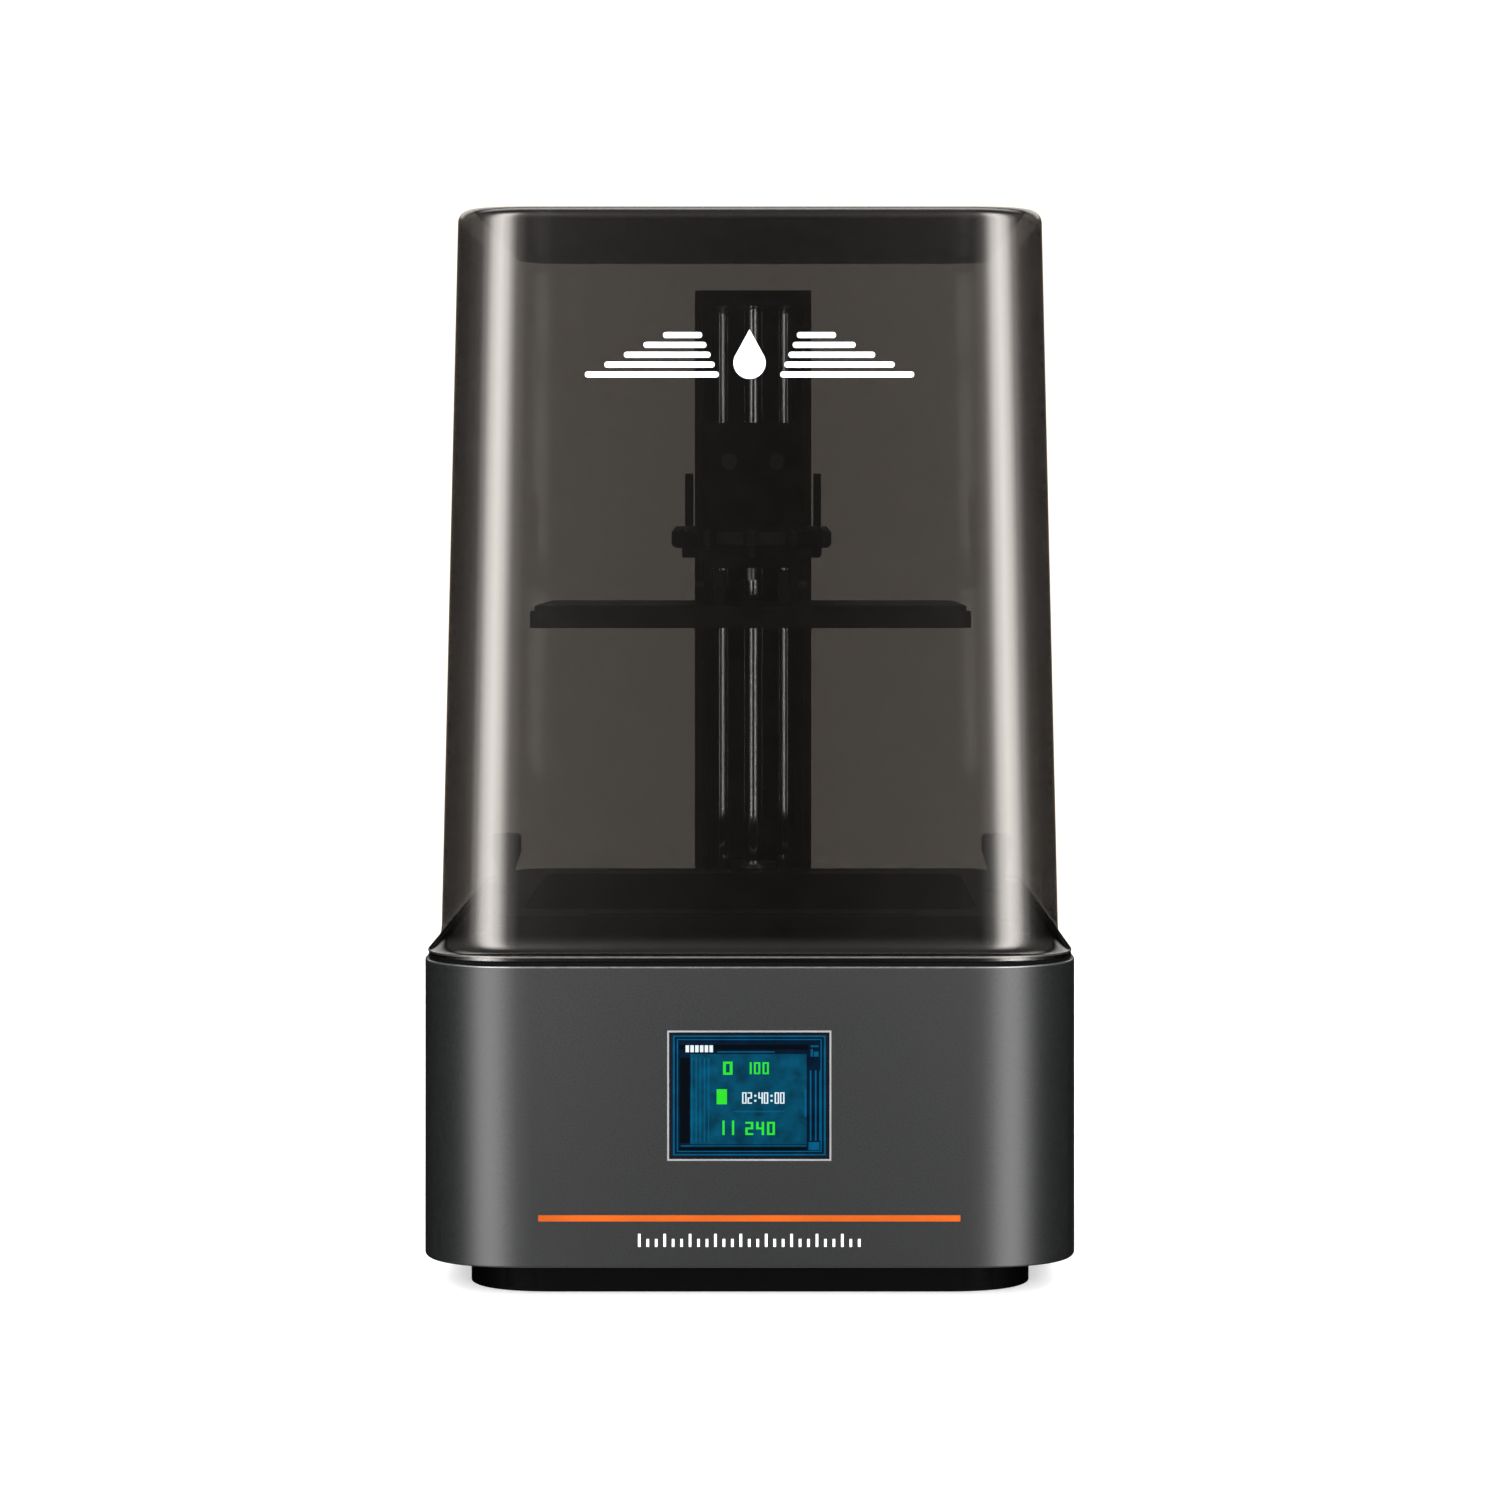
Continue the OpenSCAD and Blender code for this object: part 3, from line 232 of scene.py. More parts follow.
LOOKS = {
    "housing_grey": finish_of("housing_grey", (0.0072, 0.0076, 0.0076), 0.34, 2200, 0.45,
                              0.005 * MM, cloud=1500, Specular_IOR_Level=0.22,
                              Coat_Weight=0.26, Coat_Roughness=0.19),
    "hood_smoke": smoked("hood_smoke", 0.787),
    "pan_black": plastic("pan_black", (0.0008, 0.0008, 0.0009), 0.5, Specular_IOR_Level=0.02),
    "foot_rubber": plastic("foot_rubber", (0.02, 0.02, 0.02), 0.8, 600),
    "seal_rubber": plastic("seal_rubber", (0.002, 0.002, 0.002), 0.9, 1200,
                           Specular_IOR_Level=0.05),
    "fastener_steel": drawn("fastener_steel", (0.42, 0.42, 0.44), 0.3, (1, 1, 1)),
    "screw_black": drawn("screw_black", (0.05, 0.05, 0.052), 0.35, (1, 1, 1)),
    "deck_black": blasted("deck_black", (0.03, 0.031, 0.033)),
    "bezel_silver": plastic("bezel_silver", (0.16, 0.157, 0.165), 0.35, 2000),
    "display_face": plastic("display_face", (0.002, 0.004, 0.006), 0.12, 300, 0.001 * MM),
    "circuit_green": plastic("circuit_green", (0.012, 0.09, 0.04), 0.35, 500),
    "accent_orange": plastic("accent_orange", (0.34, 0.058, 0.003), 0.4, 900,
                             Specular_IOR_Level=0.1),
    "lcd_glass": plastic("lcd_glass", (0.004, 0.004, 0.006), 0.08, 200, 0.001 * MM),
    "tape_black": plastic("tape_black", (0.015, 0.015, 0.015), 0.6),
    "carrier_black": plastic("carrier_black", (0.02, 0.02, 0.021)),
    "lens_clear": see_through("lens_clear", (0.7, 0.76, 0.8), 0.35, 0.06),
    "reflector_alu": drawn("reflector_alu", (0.6, 0.6, 0.62)),
    "lamp_board": plastic("lamp_board", (0.7, 0.7, 0.68), 0.4),
    "lamp_dome": see_through("lamp_dome", (0.8, 0.76, 0.5), 0.6, 0.1),
    "heatsink_alu": drawn("heatsink_alu", (0.5, 0.51, 0.53), 0.35, (1, 0.02, 1)),
    "fan_black": plastic("fan_black", (0.016, 0.016, 0.017), 0.4),
    "grille_black": plastic("grille_black", (0.014, 0.014, 0.015), 0.45),
    "chip_black": plastic("chip_black", (0.02, 0.02, 0.022), 0.35),
    "socket_metal": drawn("socket_metal", (0.55, 0.55, 0.57), 0.25, (0.02, 1, 1)),
    "socket_black": plastic("socket_black", (0.014, 0.014, 0.014), 0.35),
    "rocker_black": plastic("rocker_black", (0.01, 0.01, 0.01), 0.18, 400, 0.002 * MM),
    "motor_black": plastic("motor_black", (0.008, 0.008, 0.0085), 0.4, Specular_IOR_Level=0.25),
    "mount_alu": drawn("mount_alu", (0.45, 0.45, 0.47), 0.32, (0.02, 1, 1)),
    "cable_black": plastic("cable_black", (0.015, 0.015, 0.015), 0.6, 1500),
    "column_black": blasted("column_black", (0.008, 0.008, 0.0085), 0.5),
    "rod_chrome": polished("rod_chrome", (0.5, 0.49, 0.49), 0.04),
    "bearing_steel": polished("bearing_steel", (0.6, 0.6, 0.62), 0.2),
    "sensor_black": plastic("sensor_black", (0.012, 0.012, 0.014), 0.4),
    "screw_steel": polished("screw_steel", (0.55, 0.54, 0.545), 0.04),
    "coupler_alu": drawn("coupler_alu", (0.55, 0.56, 0.58), 0.3, (1, 1, 0.02)),
    "carriage_black": blasted("carriage_black", (0.007, 0.007, 0.0075), 0.48),
    "nut_brass": drawn("nut_brass", (0.65, 0.43, 0.16), 0.26, (1, 1, 1)),
    "knob_black": plastic("knob_black", (0.004, 0.004, 0.0042), 0.45, Specular_IOR_Level=0.2),
    "platform_alu": blasted("platform_alu", (0.016, 0.016, 0.017), 0.45),
    "vat_black": blasted("vat_black", (0.012, 0.012, 0.0125), 0.5),
    "film_clear": see_through("film_clear", (0.3, 0.32, 0.34), 0.2, 0.08),
    "ring_alu": drawn("ring_alu", (0.45, 0.45, 0.47), 0.3, (0.02, 1, 1)),
    "thumb_black": blasted("thumb_black", (0.01, 0.01, 0.011), 0.4),
}
# A darker copy of the hood's plastic for its top plate: painted shade
HOOD_TOP_SHADED_SMOKE = smoked("hood_top_shaded_smoke", 0.98)
LINING_SMOKE = smoked("lining_smoke", 0.07)
# Faint tint for the strips behind the hood's front corners: painted shade of the wall seen edge on
PAINTED_EDGE_SHADE = see_through("painted_edge_shade", SMOKE, 0.15, 0.6, Specular_IOR_Level=0.0)
# A lighter, glossier copy of the housing's finish for its upper edge: a painted highlight line
HOUSING_EDGE_HIGHLIGHT = finish_of("housing_edge_painted_highlight", (0.11, 0.113, 0.113), 0.3, 2200, 0.2, 0.002 * MM,
                         metallic=0.75, cloud=300, Specular_IOR_Level=0.5,
                         Coat_Weight=0.6, Coat_Roughness=0.12)
# A lighter, opaque, glossy finish for the hood's upright rim: a painted highlight line
HOOD_RIM_HIGHLIGHT = finish_of("hood_rim_painted_highlight", (0.08, 0.075, 0.07), 0.35, 2200, 0.2, 0.002 * MM,
                     metallic=0.75, cloud=300, Coat_Weight=0.6, Coat_Roughness=0.12)
GRAPHIC_WHITE = plastic("graphic_white", (0.8, 0.8, 0.8), 0.5, 1500, 0.002 * MM)


def dress_cad_nodes():
    """Gives each CAD node the look of its material slot."""
    for entry in frame["record"]["subparts"]:
        mesh = frame["nodes"][entry["node"]].data
        mesh.materials.clear()
        mesh.materials.append(LOOKS[entry["material_slot"]])


dress_cad_nodes()

# ---------- mesh helpers ----------


def corner_run(inset):
    """Length along the front of the softened corner at an inset from the base's side."""
    ease = max(0, 1 - inset / EXTRA_FADE)
    return HOOD_RUN - RUN_PER_INSET * inset + BASE_EXTRA * ease ** 2


def corner_point(run, angle):
    """How far along X and Y a softened corner reaches from its centre at an angle."""
    dx = run * math.cos(angle) ** (2 / CORNER_POWER)
    dy = run * CORNER_DEEP * math.sin(angle) ** (2 / CORNER_POWER)
    return dx, dy


def soft_rect(half_x, half_y, run):
    """A rectangle whose softened corners are longer along X than along Y, anticlockwise."""
    reach_x = half_x - run
    reach_y = half_y - run * CORNER_DEEP
    points = []
    for quarter in range(4):
        sign_x = 1 if quarter in (0, 3) else -1
        sign_y = 1 if quarter < 2 else -1
        for k in range(CORNER_STEPS + 1):
            share = k / CORNER_STEPS if quarter % 2 == 0 else 1 - k / CORNER_STEPS
            dx, dy = corner_point(run, math.pi / 2 * share)
            points.append((sign_x * (reach_x + dx), sign_y * (reach_y + dy)))
    return points


def outline(inset):
    """The base's plan outline, moved in by inset."""
    return soft_rect(HALF_X - inset, HALF_Y - inset, corner_run(inset))


def make_object(name, bm, material, smooth_angle=35):
    """Turns a bmesh into an object with clean normals, smooth but for its sharp edges."""
    bmesh.ops.recalc_face_normals(bm, faces=bm.faces)
    for face in bm.faces:
        face.smooth = True
    for edge in bm.edges:
        if len(edge.link_faces) == 2:
            edge.smooth = edge.calc_face_angle(0) < math.radians(smooth_angle)
    mesh = bpy.data.meshes.new(name)
    bm.to_mesh(mesh)
    bm.free()
    mesh.materials.append(material)
    piece = bpy.data.objects.new(name, mesh)
    scene.collection.objects.link(piece)
    return piece


def add_band(bm, low, high):
    """Quads between two closed loops of vertices."""
    size = len(low)
    for k in range(size):
        bm.faces.new((low[k], low[(k + 1) % size], high[(k + 1) % size], high[k]))


def add_loop(bm, rings):
    """A closed skin through a loop of rings, the last of which joins the first."""
    for low, high in zip(rings, rings[1:] + rings[:1]):
        add_band(bm, low, high)


def outline_rings(bm, levels):
    """A ring of vertices on the base's outline for each (inset, z) level."""
    return [[bm.verts.new((x, y, z)) for x, y in outline(inset)] for inset, z in levels]


def skin_strip(levels, capped=False):
    """An open skin through a run of (inset, z) levels, its last ring closed flat if capped."""
    bm = bmesh.new()
    rings = outline_rings(bm, levels)
    for low, high in zip(rings, rings[1:]):
        add_band(bm, low, high)
    if capped:
        bm.faces.new(rings[-1])
    return bm


def arc(centre, radius, start, end, steps):
    """(inset, z) points on an arc in the wall's section; angles in degrees, 0 outwards, 90 up."""
    points = []
    for k in range(steps + 1):
        angle = math.radians(start + (end - start) * k / steps)
        points.append((centre[0] - radius * math.cos(angle), centre[1] + radius * math.sin(angle)))
    return points


def add_box(bm, low, high):
    """A box between two corners."""
    corners = [bm.verts.new((x, y, z)) for z in (low[2], high[2]) for y in (low[1], high[1])
               for x in (low[0], high[0])]
    for ids in ((0, 1, 3, 2), (4, 5, 7, 6), (0, 1, 5, 4), (2, 3, 7, 6), (0, 2, 6, 4), (1, 3, 7, 5)):
        bm.faces.new([corners[i] for i in ids])


def add_tube(bm, x, z, radius, y0, y1, steps=32):
    """A solid cylinder along Y."""
    rings = []
    for y in (y0, y1):
        rings.append([bm.verts.new((x + radius * math.cos(a), y, z + radius * math.sin(a)))
                      for a in (2 * math.pi * k / steps for k in range(steps))])
    add_band(bm, rings[0], rings[1])
    bm.faces.new(rings[0])
    bm.faces.new(rings[1])


def grown_box(node, grow):
    """A node's box, larger by grow on every side."""
    low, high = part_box(node)
    return low - Vector((grow,) * 3), high + Vector((grow,) * 3)


def carve(piece, bm):
    """Cuts the solids in bm out of piece."""
    bmesh.ops.recalc_face_normals(bm, faces=bm.faces)
    mesh = bpy.data.meshes.new("cutter")
    bm.to_mesh(mesh)
    bm.free()
    cutter = bpy.data.objects.new("cutter", mesh)
    scene.collection.objects.link(cutter)
    cut = piece.modifiers.new("cut", "BOOLEAN")
    cut.operation = "DIFFERENCE"
    cut.solver = "EXACT"
    cut.object = cutter
    apply_modifiers(piece)
    bpy.data.objects.remove(cutter)
    bpy.data.meshes.remove(mesh)


def apply_modifiers(piece):
    """Replaces a piece's mesh by the result of its modifiers."""
    depsgraph = bpy.context.evaluated_depsgraph_get()
    made = bpy.data.meshes.new_from_object(piece.evaluated_get(depsgraph))
    piece.modifiers.clear()
    old = piece.data
    piece.data = made
    bpy.data.meshes.remove(old)


def settle(piece, body, slot, *nodes):
    """Fixes a piece to its body and hides the CAD nodes that it stands for; slot is not used."""
    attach(piece, body)
    if nodes:
        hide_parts(*nodes)


# ---------- base shell ----------


TICK_PITCH = 3 * MM
TICKS_EACH_WAY = 13         # on either side of the middle one
TICK_TALL = 4.6 * MM        # every third tick
TICK_SHORT = 2.8 * MM
TICK_HALF = 0.45 * MM
TICK_Z = 20.6 * MM
TICK_DEEP = 0.15 * MM
VENTS = 9                   # upright slots on each side
VENT_FIRST = -26 * MM
VENT_PITCH = 7 * MM
VENT_WIDE = 3 * MM
VENT_LOW = 26 * MM
VENT_HIGH = 44 * MM
INLET_R = 5.6 * MM
CUT_OUT = 2 * MM            # how far the cutters start outside the shell
CUT_IN = 5 * MM             # how far they reach through its wall


def add_ticks(bm, y0, y1):
    """A row of small plain ticks under the accent strip."""
    for i in range(-TICKS_EACH_WAY, TICKS_EACH_WAY + 1):
        x = i * TICK_PITCH
        tall = TICK_TALL if (i + TICKS_EACH_WAY) % 3 == 0 else TICK_SHORT
        add_box(bm, (x - TICK_HALF, y0, TICK_Z), (x + TICK_HALF, y1, TICK_Z + tall))


def make_base_shell():
    """The base's housing with its openings, and a lighter, glossier copy of its finish on its upper
    edge as a painted highlight.
    """
    z0, z1 = SHELL_LOW.z, SHELL_HIGH.z
    ledge_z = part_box("deck_plate")[1].z - 9 * MM
    levels = arc((SHELL_FOOT, z0 + SHELL_FOOT), SHELL_FOOT, -90, 0, 6)
    levels += arc((SHELL_EDGE, z1 - SHELL_EDGE), SHELL_EDGE, 0, 90, 5)
    levels += [(WALL, z1), (WALL, ledge_z), (10 * WALL, z0 + WALL), (10 * WALL, z0)]
    bm = bmesh.new()
    add_loop(bm, outline_rings(bm, levels))
    # The faces of the upper edge's rounding take the painted highlight finish
    for face in bm.faces:
        if z1 - SHELL_EDGE < face.calc_center_median().z < z1 - 0.001 * MM:
            face.material_index = 1
    piece = make_object("base_shell", bm, LOOKS["housing_grey"], 40)
    piece.data.materials.append(HOUSING_EDGE_HIGHLIGHT)
    carve(piece, shell_openings())
    settle(piece, "base", "housing_grey", "housing_shell")


def shell_openings():
    """The cutters of the display, stripe, ticks, grille, sockets, vents and inlet."""
    bm = bmesh.new()
    for node, depth in (("display_bezel", 4 * MM), ("accent_strip", 0.8 * MM)):
        low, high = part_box(node)
        add_box(bm, (low.x, FRONT - CUT_OUT, low.z), (high.x, FRONT + depth, high.z))
    add_ticks(bm, FRONT - CUT_OUT, FRONT + TICK_DEEP)
    low, high = grown_box("exhaust_grille", 0.2 * MM)
    add_box(bm, (low.x, HALF_Y - CUT_IN, low.z), (high.x, HALF_Y + CUT_OUT, high.z))
    for node in ("usb_port", "switch_frame"):
        low, high = grown_box(node, 0.25 * MM)
        add_box(bm, (HALF_X - CUT_IN, low.y, low.z), (HALF_X + CUT_OUT, high.y, high.z))
    for i in range(VENTS):
        y = VENT_FIRST + VENT_PITCH * i
        for x in (-HALF_X, HALF_X):
            add_box(bm, (x - CUT_IN, y, VENT_LOW), (x + CUT_IN, y + VENT_WIDE, VENT_HIGH))
    low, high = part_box("power_inlet")
    centre = (low + high) / 2
    add_tube(bm, centre.x, centre.z, INLET_R, HALF_Y - CUT_IN, HALF_Y + CUT_OUT)
    return bm


def make_plinth_skin():
    """A thin skin round the plinth, with the base's softened corners."""
    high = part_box("bottom_pan")[1]
    half_x = high.x + 0.1 * MM
    half_y = high.y + 0.2 * MM
    z0 = 0.4 * MM
    z1 = SHELL_LOW.z - 0.1 * MM
    thick = 0.08 * MM
    bm = bmesh.new()
    add_loop(bm, [[bm.verts.new((x, y, z))
                   for x, y in soft_rect(half_x - inset, half_y - inset, HOOD_RUN)]
                  for inset, z in ((0, z0), (0, z1), (thick, z1), (thick, z0))])
    settle(make_object("plinth_skin", bm, LOOKS["pan_black"]), "base", "pan_black")


make_base_shell()
make_plinth_skin()

# ---------- hood ----------

EDGE_REACHES = (18, 29, 39)     # degrees round the corner that each edge strip covers
EDGE_GAP = 0.4 * MM             # from the wall's face to the first strip
EDGE_PITCH = 0.3 * MM           # and between one strip and the next
EDGE_STEPS = 10
FLARE_STEPS = 16


def hood_inset(z):
    """How far the hood's drafted wall stands in from the base's side at a height."""
    return FLARE_W + (z - FLARE_TOP) * DRAFT


def make_hood():
    """The hood's wall with a painted highlight on its rim, its top plate in a darker copy of the
    same plastic as painted shade, and a faint lining behind each.
    """
    foot_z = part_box("hood")[0].z
    rim_z = SEAT_Z + LIP_H
    outer = [(FOOT_IN + LIP_IN, SEAT_Z), (FOOT_IN + LIP_IN, rim_z), (FOOT_IN + 0.3 * MM, rim_z),
             (FOOT_IN + 0.08 * MM, rim_z + 0.1 * MM), (FOOT_IN, rim_z + 0.35 * MM),
             (FOOT_IN + 0.1 * MM, rim_z + RIM_H - 0.1 * MM)]
    for k in range(1, FLARE_STEPS + 1):
        angle = math.radians(90 * (1 - k / FLARE_STEPS))
        outer.append((FOOT_IN + (FLARE_W - FOOT_IN) * math.cos(angle),
                      FLARE_TOP - FLARE_H * math.sin(angle)))
    top_inset = hood_inset(HOOD_TOP - TOP_R)
    rim = arc((top_inset + TOP_R, HOOD_TOP - TOP_R), TOP_R, 0, 90, 9)
    inner_rim = arc((top_inset + WALL + INNER_TOP_R, HOOD_TOP - WALL - INNER_TOP_R), INNER_TOP_R,
                    90, 0, 5)
    foot = [(FLARE_W + WALL, FLARE_TOP), (2.1 * WALL, SEAT_Z + 4 * MM), (2 * WALL, foot_z),
            (WALL + 0.5 * MM, foot_z), (WALL + 0.5 * MM, SEAT_Z)]
    bm = skin_strip(outer + rim)
    # The upright rim's faces take the painted highlight finish
    for face in bm.faces:
        if rim_z < face.calc_center_median().z < rim_z + RIM_H:
            face.material_index = 1
    wall = make_object("hood_wall", bm, LOOKS["hood_smoke"], 30)
    wall.data.materials.append(HOOD_RIM_HIGHLIGHT)
    lining = make_object("hood_lining", skin_strip(inner_rim[-1:] + foot + outer[:1]),
                         LINING_SMOKE, 30)
    top = make_object("hood_top", skin_strip(rim[-1:], capped=True), HOOD_TOP_SHADED_SMOKE, 30)
    under = make_object("hood_top_lining", skin_strip(inner_rim[::-1], capped=True),
                        LINING_SMOKE, 30)
    for piece in (wall, lining, top, under):
        settle(piece, "hood", "hood_smoke", "hood")


def make_hood_edge_shade():
    """Nested strips of faint tint behind the front corners: painted shade for the darker look of
    the wall seen edge on.
    """
    bm = bmesh.new()
    for layer, reach in enumerate(EDGE_REACHES):
        for side in (-1, 1):
            rows = []
            for z in (FLARE_TOP, HOOD_TOP - TOP_R):
                inset = hood_inset(z) + EDGE_GAP + EDGE_PITCH * layer
                run = corner_run(inset)
                centre_x = HALF_X - inset - run
                centre_y = HALF_Y - inset - run * CORNER_DEEP
                row = [bm.verts.new((side * (HALF_X - inset), 3 * run - centre_y, z))]
                for k in range(EDGE_STEPS + 1):
                    dx, dy = corner_point(run, math.radians(reach * k / EDGE_STEPS))
                    row.append(bm.verts.new((side * (centre_x + dx), -(centre_y + dy), z)))
                rows.append(row)
            low, high = rows
            for k in range(EDGE_STEPS + 1):
                bm.faces.new((low[k], low[k + 1], high[k + 1], high[k]))
    settle(make_object("hood_edge_shade", bm, PAINTED_EDGE_SHADE), "hood", "hood_smoke")


make_hood()
make_hood_edge_shade()

# ---------- graphics ----------

MARK_Z = 329 * MM
MARK_H = 17.7 * MM
MARK_THICK = 0.06 * MM
DROP_W = 11.5 * MM
BAR_ROWS = 5
BAR_H = 2.1 * MM
BAR_START = 11 * MM         # inner end of the lowest bar
BAR_START_STEP = 1.5 * MM   # each row above starts this much further out
BAR_END = 59 * MM           # outer end of the lowest bar
BAR_END_STEP = 7 * MM       # each row above ends this much further in


def add_sheet(bm, corners, y, thick):
    """A thin sheet facing -Y through a loop of (x, z) corners, with its back at y(z)."""
    front = [bm.verts.new((x, y(z) - thick, z)) for x, z in corners]
    back = [bm.verts.new((v.co.x, v.co.y + thick, v.co.z)) for v in front]
    bm.faces.new(front)
    bm.faces.new(back)
    add_band(bm, front, back)


def add_plate(bm, x0, x1, z0, z1, y, thick, round_by=0.0):
    """A rectangular sheet, with round corners where round_by is above zero."""
    radius = min(round_by, (x1 - x0) / 2, (z1 - z0) / 2)
    turns = 5 if radius > 0 else 0
    corners = []
    for cx, cz, start in ((x1 - radius, z1 - radius, 0), (x0 + radius, z1 - radius, 90),
                          (x0 + radius, z0 + radius, 180), (x1 - radius, z0 + radius, 270)):
        for k in range(turns + 1):
            angle = math.radians(start + 90 * k / max(turns, 1))
            corners.append((cx + radius * math.cos(angle), cz + radius * math.sin(angle)))
    add_sheet(bm, corners, y, thick)


def add_drop(bm, x, z, width, height, y, thick, steps=28):
    """A resin drop, round below and pointed above."""
    radius = width / 2
    corners = []
    for k in range(steps + 1):
        angle = math.radians(-215 + 250 * k / steps)
        corners.append((x + radius * math.cos(angle), z + radius + radius * math.sin(angle)))
    corners.append((x, z + height))
    add_sheet(bm, corners, y, thick)


def hood_face(z):
    """The hood's front face at a height."""
    return FRONT + hood_inset(z)


def make_hood_mark():
    """A plain mark: a drop between two runs of printed layers that taper away from it."""
    bm = bmesh.new()
    add_drop(bm, 0, MARK_Z, DROP_W, MARK_H, hood_face, MARK_THICK)
    for side in (-1, 1):
        for row in range(BAR_ROWS):
            z = MARK_Z + MARK_H * row / BAR_ROWS + 0.5 * MM
            start = BAR_START + BAR_START_STEP * row
            end = BAR_END - BAR_END_STEP * row
            x0, x1 = sorted((side * start, side * end))
            add_plate(bm, x0, x1, z, z + BAR_H, hood_face, MARK_THICK, 1.0 * MM)
    piece = make_object("hood_mark", bm, GRAPHIC_WHITE)
    settle(piece, "hood", "bezel_silver")


def make_base_ticks():
    """The fill of the ticks that are cut into the base."""
    bm = bmesh.new()
    add_ticks(bm, FRONT + 0.02 * MM, FRONT + TICK_DEEP)
    settle(make_object("base_ticks", bm, GRAPHIC_WHITE), "base", "bezel_silver")


make_hood_mark()
make_base_ticks()

# ---------- display ----------

SCREEN_LOW, SCREEN_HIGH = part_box("display_glass")
SCREEN_W = SCREEN_HIGH.x - SCREEN_LOW.x
SCREEN_H = SCREEN_HIGH.z - SCREEN_LOW.z
DEEP_BLUE = lit("display_deep", (0.0, 0.009, 0.028), 0.4)
TEAL = lit("display_teal", (0.0, 0.06, 0.115), 0.45)
LINE_BLUE = lit("display_line", (0.0, 0.095, 0.2), 0.2)
GREEN = lit("display_green", (0.03, 0.78, 0.03))
WHITE = lit("display_white", (0.8, 0.92, 1.0))
BLACK = lit("display_black", (0.0, 0.002, 0.005))

# Bars of each digit: top, upper left, upper right, middle, lower left, lower right, bottom
SEGMENTS = {"0": "1110111", "1": "0010010", "2": "1011101", "4": "0111010"}


def digit_bars(char, u, v, w, h):
    """Rectangles (u0, v0, u1, v1) of a seven-bar digit whose top left corner is at u, v."""
    if char == ":":
        dot = w * 0.45
        return [(u + w * 0.3, v + h * share, u + w * 0.3 + dot, v + h * share + dot * 1.2)
                for share in (0.22, 0.66)]
    t = w * 0.3
    mid = v + (h - t) / 2
    bars = [(u, v, u + w, v + t), (u, v, u + t, v + h / 2), (u + w - t, v, u + w, v + h / 2),
            (u, mid, u + w, mid + t), (u, v + h / 2, u + t, v + h),
            (u + w - t, v + h / 2, u + w, v + h), (u, v + h - t, u + w, v + h)]
    return [bar for bar, on in zip(bars, SEGMENTS[char]) if on == "1"]


def digits(text, u, v, w, h, pitch):
    """The bars of a run of digits, one pitch apart."""
    bars = []
    for i, char in enumerate(text):
        bars += digit_bars(char, u + i * pitch, v, w, h)
    return bars


def frame_bars(u0, v0, u1, v1, t):
    """The four bars of a hollow rectangle."""
    return [(u0, v0, u1, v0 + t), (u0, v1 - t, u1, v1), (u0, v0 + t, u0 + t, v1 - t),
            (u1 - t, v0 + t, u1, v1 - t)]


def make_display_layer(name, bars, material, rise):
    """Flat tiles on the display's face, as shares of its width and height from the top left."""
    bm = bmesh.new()
    face = SCREEN_LOW.y - rise
    for u0, v0, u1, v1 in bars:
        add_plate(bm, SCREEN_LOW.x + u0 * SCREEN_W, SCREEN_LOW.x + u1 * SCREEN_W,
                  SCREEN_HIGH.z - v1 * SCREEN_H, SCREEN_HIGH.z - v0 * SCREEN_H,
                  lambda z: face, 0.03 * MM)
    piece = make_object(name, bm, material)
    settle(piece, "base", "display_face")


def make_bezel():
    """The display's bezel: a thin pale ring round a dark border, level with the base's front."""
    low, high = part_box("display_bezel")
    ring = 0.65 * MM
    face = max(low.y, FRONT)
    for name, x0, x1, z0, z1, t, look in (
            ("bezel_ring", low.x, high.x, low.z, high.z, ring, LOOKS["bezel_silver"]),
            ("bezel_border", low.x + ring, high.x - ring, low.z + ring, high.z - ring,
             SCREEN_LOW.x - low.x - ring - 0.05 * MM, BLACK)):
        bm = bmesh.new()
        for a, b in (((x0, z0), (x1, z0 + t)), ((x0, z1 - t), (x1, z1)),
                     ((x0, z0 + t), (x0 + t, z1 - t)), ((x1 - t, z0 + t), (x1, z1 - t))):
            add_box(bm, (a[0], face, a[1]), (b[0], high.y, b[1]))
        settle(make_object(name, bm, look), "base", "bezel_silver", "display_bezel")


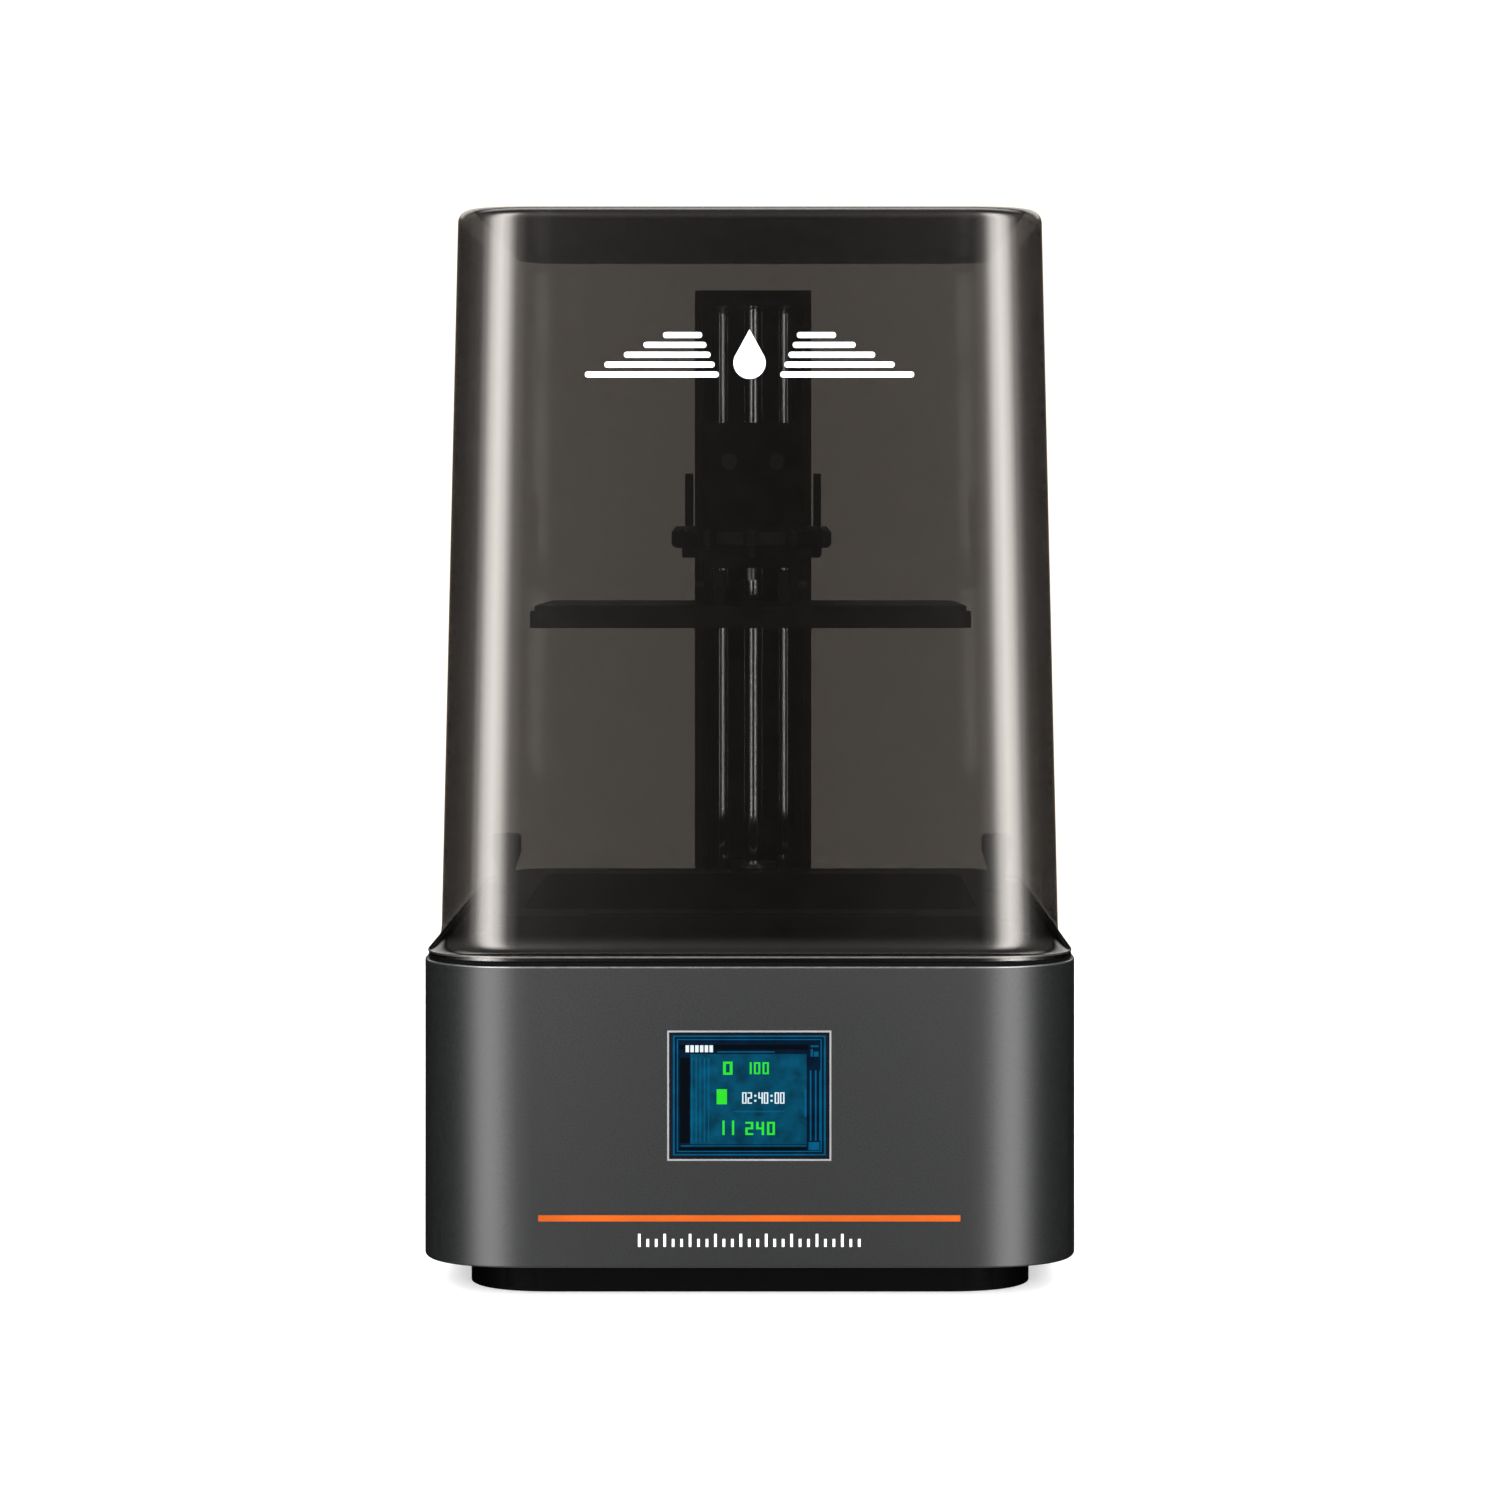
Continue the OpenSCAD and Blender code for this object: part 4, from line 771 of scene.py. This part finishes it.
def make_display():
    """The display's picture in layers: grounds, bands, thin lines, green values and white text."""
    lines_left = [(u, 0.2, u + 0.009, 0.87) for u in (0.135, 0.162, 0.188, 0.214, 0.24)]
    lines_right = [(u, 0.3, u + 0.01, 0.86) for u in (0.88, 0.912, 0.94)]
    make_display_layer("display_ground", [(0.018, 0.018, 0.982, 0.982)], DEEP_BLUE, 0.03 * MM)
    make_display_layer("display_field", [(0.13, 0.17, 0.86, 0.89)], TEAL, 0.07 * MM)
    make_display_layer("display_bands", [(0.065, 0.2, 0.125, 0.88), (0.06, 0.095, 0.87, 0.135),
                                         (0.06, 0.915, 0.86, 0.94)], BLACK, 0.07 * MM)
    make_display_layer("display_lines", frame_bars(0.02, 0.022, 0.98, 0.978, 0.012)
                       + frame_bars(0.045, 0.05, 0.955, 0.95, 0.008) + lines_left + lines_right
                       + [(0.845, 0.45, 0.86, 0.67), (0.3, 0.148, 0.66, 0.158),
                          (0.4, 0.622, 0.72, 0.634), (0.07, 0.898, 0.86, 0.906),
                          (0.885, 0.1, 0.935, 0.115), (0.885, 0.13, 0.9, 0.19),
                          (0.905, 0.15, 0.935, 0.19), (0.872, 0.872, 0.94, 0.935)],
                       LINE_BLUE, 0.11 * MM)
    make_display_layer("display_values", digits("0", 0.335, 0.23, 0.06, 0.105, 0.075)
                       + digits("100", 0.475, 0.235, 0.04, 0.095, 0.054)
                       + [(0.295, 0.45, 0.36, 0.57)]
                       + digits("11", 0.3, 0.7, 0.045, 0.115, 0.06)
                       + digits("240", 0.475, 0.71, 0.05, 0.105, 0.068), GREEN, 0.12 * MM)
    make_display_layer("display_text", digits("02:40:00", 0.455, 0.475, 0.028, 0.09, 0.034)
                       + [(0.1 + 0.03 * i, 0.1, 0.122 + 0.03 * i, 0.155) for i in range(6)],
                       WHITE, 0.12 * MM)


make_bezel()
make_display()

# ---------- stage and light ----------

WHITE_SEEN = (1.3, 1.14, 1.0)       # clips to white by itself, and shows warm through the hood
SIDE_LIGHT = 14.5                   # the two side softboxes
OVERHEAD = 5.0                      # strip above and behind, for the edges
SKY = 0.45                          # dim ceiling in front
DOME = 0.7                          # extra soft light from above on matt surfaces
REAR = 2.5                          # raised softbox behind
UNDER = 1.2                         # light from the floor on the lower edges
FLOOR_GLOW = 0.4                    # lifts the floor that the camera sees to near white
# Radiance of the side softboxes against azimuth from the camera's direction, as shares
SIDE_PROFILE = ((0, 0.004), (6, 0.018), (11, 0.13), (17, 0.7), (23.5, 1.0), (31, 0.75), (40, 0.22),
                (50, 0.05), (62, 0.015), (86, 0.003), (118, 0.001), (180, 0.001))
FLOOR_R = 1.3
FLOOR_FADE = (0.45, 0.95)           # radii between which the floor fades out


def make_floor():
    """A pale disc that fades into the white surround."""
    bm = bmesh.new()
    bmesh.ops.create_circle(bm, cap_ends=True, radius=FLOOR_R, segments=96)
    material, tree, shader = node_material("floor_pale")
    shader.inputs["Base Color"].default_value = (0.86, 0.86, 0.86, 1)
    shader.inputs["Roughness"].default_value = 0.7
    shader.inputs["Emission Color"].default_value = (1, 1, 1, 1)
    path = tree.nodes.new("ShaderNodeLightPath")
    glow = tree.nodes.new("ShaderNodeMath")
    glow.operation = "MULTIPLY"
    glow.inputs[1].default_value = FLOOR_GLOW
    link(tree, path.outputs["Is Camera Ray"], glow.inputs[0])
    link(tree, glow.outputs[0], shader.inputs["Emission Strength"])
    place = tree.nodes.new("ShaderNodeTexCoord")
    length = tree.nodes.new("ShaderNodeVectorMath")
    length.operation = "LENGTH"
    fade = tree.nodes.new("ShaderNodeMapRange")
    fade.interpolation_type = "SMOOTHSTEP"
    fade.inputs["From Min"].default_value = FLOOR_FADE[0]
    fade.inputs["From Max"].default_value = FLOOR_FADE[1]
    fade.inputs["To Min"].default_value = 1
    fade.inputs["To Max"].default_value = 0
    link(tree, place.outputs["Object"], length.inputs[0])
    link(tree, length.outputs["Value"], fade.inputs["Value"])
    link(tree, fade.outputs["Result"], shader.inputs["Alpha"])
    piece = make_object("floor", bm, material)
    piece.visible_glossy = False


def make_world():
    """White where the camera sees it, and a dark studio with softboxes for everything else."""
    world = bpy.data.worlds.new("studio")
    world.use_nodes = True
    tree = world.node_tree
    out = tree.nodes["World Output"]
    seen = tree.nodes["Background"]
    seen.inputs["Color"].default_value = (*WHITE_SEEN, 1)
    room = tree.nodes.new("ShaderNodeBackground")
    place = tree.nodes.new("ShaderNodeTexCoord")
    split = tree.nodes.new("ShaderNodeSeparateXYZ")
    link(tree, place.outputs["Generated"], split.inputs["Vector"])

    def maths(operation, a, b):
        node = tree.nodes.new("ShaderNodeMath")
        node.operation = operation
        for socket, value in zip(node.inputs, (a, b)):
            if isinstance(value, (int, float)):
                socket.default_value = value
            else:
                link(tree, value, socket)
        return node.outputs[0]

    def ease(value, start, end, low, high):
        node = tree.nodes.new("ShaderNodeMapRange")
        node.interpolation_type = "SMOOTHSTEP"
        for name, number in (("From Min", start), ("From Max", end),
                             ("To Min", low), ("To Max", high)):
            node.inputs[name].default_value = number
        link(tree, value, node.inputs["Value"])
        return node.outputs["Result"]

    azimuth = maths("ARCTAN2", maths("ABSOLUTE", split.outputs["X"], 0),
                    maths("MULTIPLY", split.outputs["Y"], -1))
    ramp = tree.nodes.new("ShaderNodeValToRGB")
    link(tree, maths("DIVIDE", azimuth, math.pi), ramp.inputs["Fac"])
    stops = ramp.color_ramp.elements
    while len(stops) < len(SIDE_PROFILE):
        stops.new(0.5)
    for stop, (degrees, share) in zip(stops, SIDE_PROFILE):
        stop.position = degrees / 180
        stop.color = (share, share, share, 1)
    rise = split.outputs["Z"]
    path = tree.nodes.new("ShaderNodeLightPath")
    upper = ease(rise, 0.65, 0.92, SIDE_LIGHT, 0)
    sides = maths("MULTIPLY", maths("MULTIPLY", ramp.outputs["Color"], upper),
                  ease(rise, -0.8, -0.5, 0, 1))
    strip = maths("MULTIPLY", ease(split.outputs["Y"], -0.1, 0.3, 0, 1),
                  ease(rise, 0.8, 0.95, 0, OVERHEAD))
    sky = maths("MULTIPLY", ease(split.outputs["Y"], 0.1, 0.4, 1, 0),
                ease(rise, 0.1, 0.7, 0, SKY))
    dome = maths("MULTIPLY", path.outputs["Is Diffuse Ray"], ease(rise, 0.1, 0.5, 0, DOME))
    under = maths("MULTIPLY", path.outputs["Is Glossy Ray"],
                  ease(rise, -0.92, -0.75, UNDER, 0))
    rear = maths("MULTIPLY", ease(split.outputs["Y"], 0.3, 0.6, 0, 1),
                 maths("MULTIPLY", ease(rise, 0.22, 0.4, 0, 1), ease(rise, 0.7, 0.85, REAR, 0)))
    total = sides
    for part in (strip, sky, dome, under, rear):
        total = maths("ADD", total, part)
    link(tree, total, room.inputs["Strength"])
    mix = tree.nodes.new("ShaderNodeMixShader")
    link(tree, path.outputs["Is Camera Ray"], mix.inputs["Fac"])
    link(tree, room.outputs["Background"], mix.inputs[1])
    link(tree, seen.outputs["Background"], mix.inputs[2])
    link(tree, mix.outputs["Shader"], out.inputs["Surface"])
    scene.world = world


make_floor()
make_world()
scene.view_settings.view_transform = "Standard"
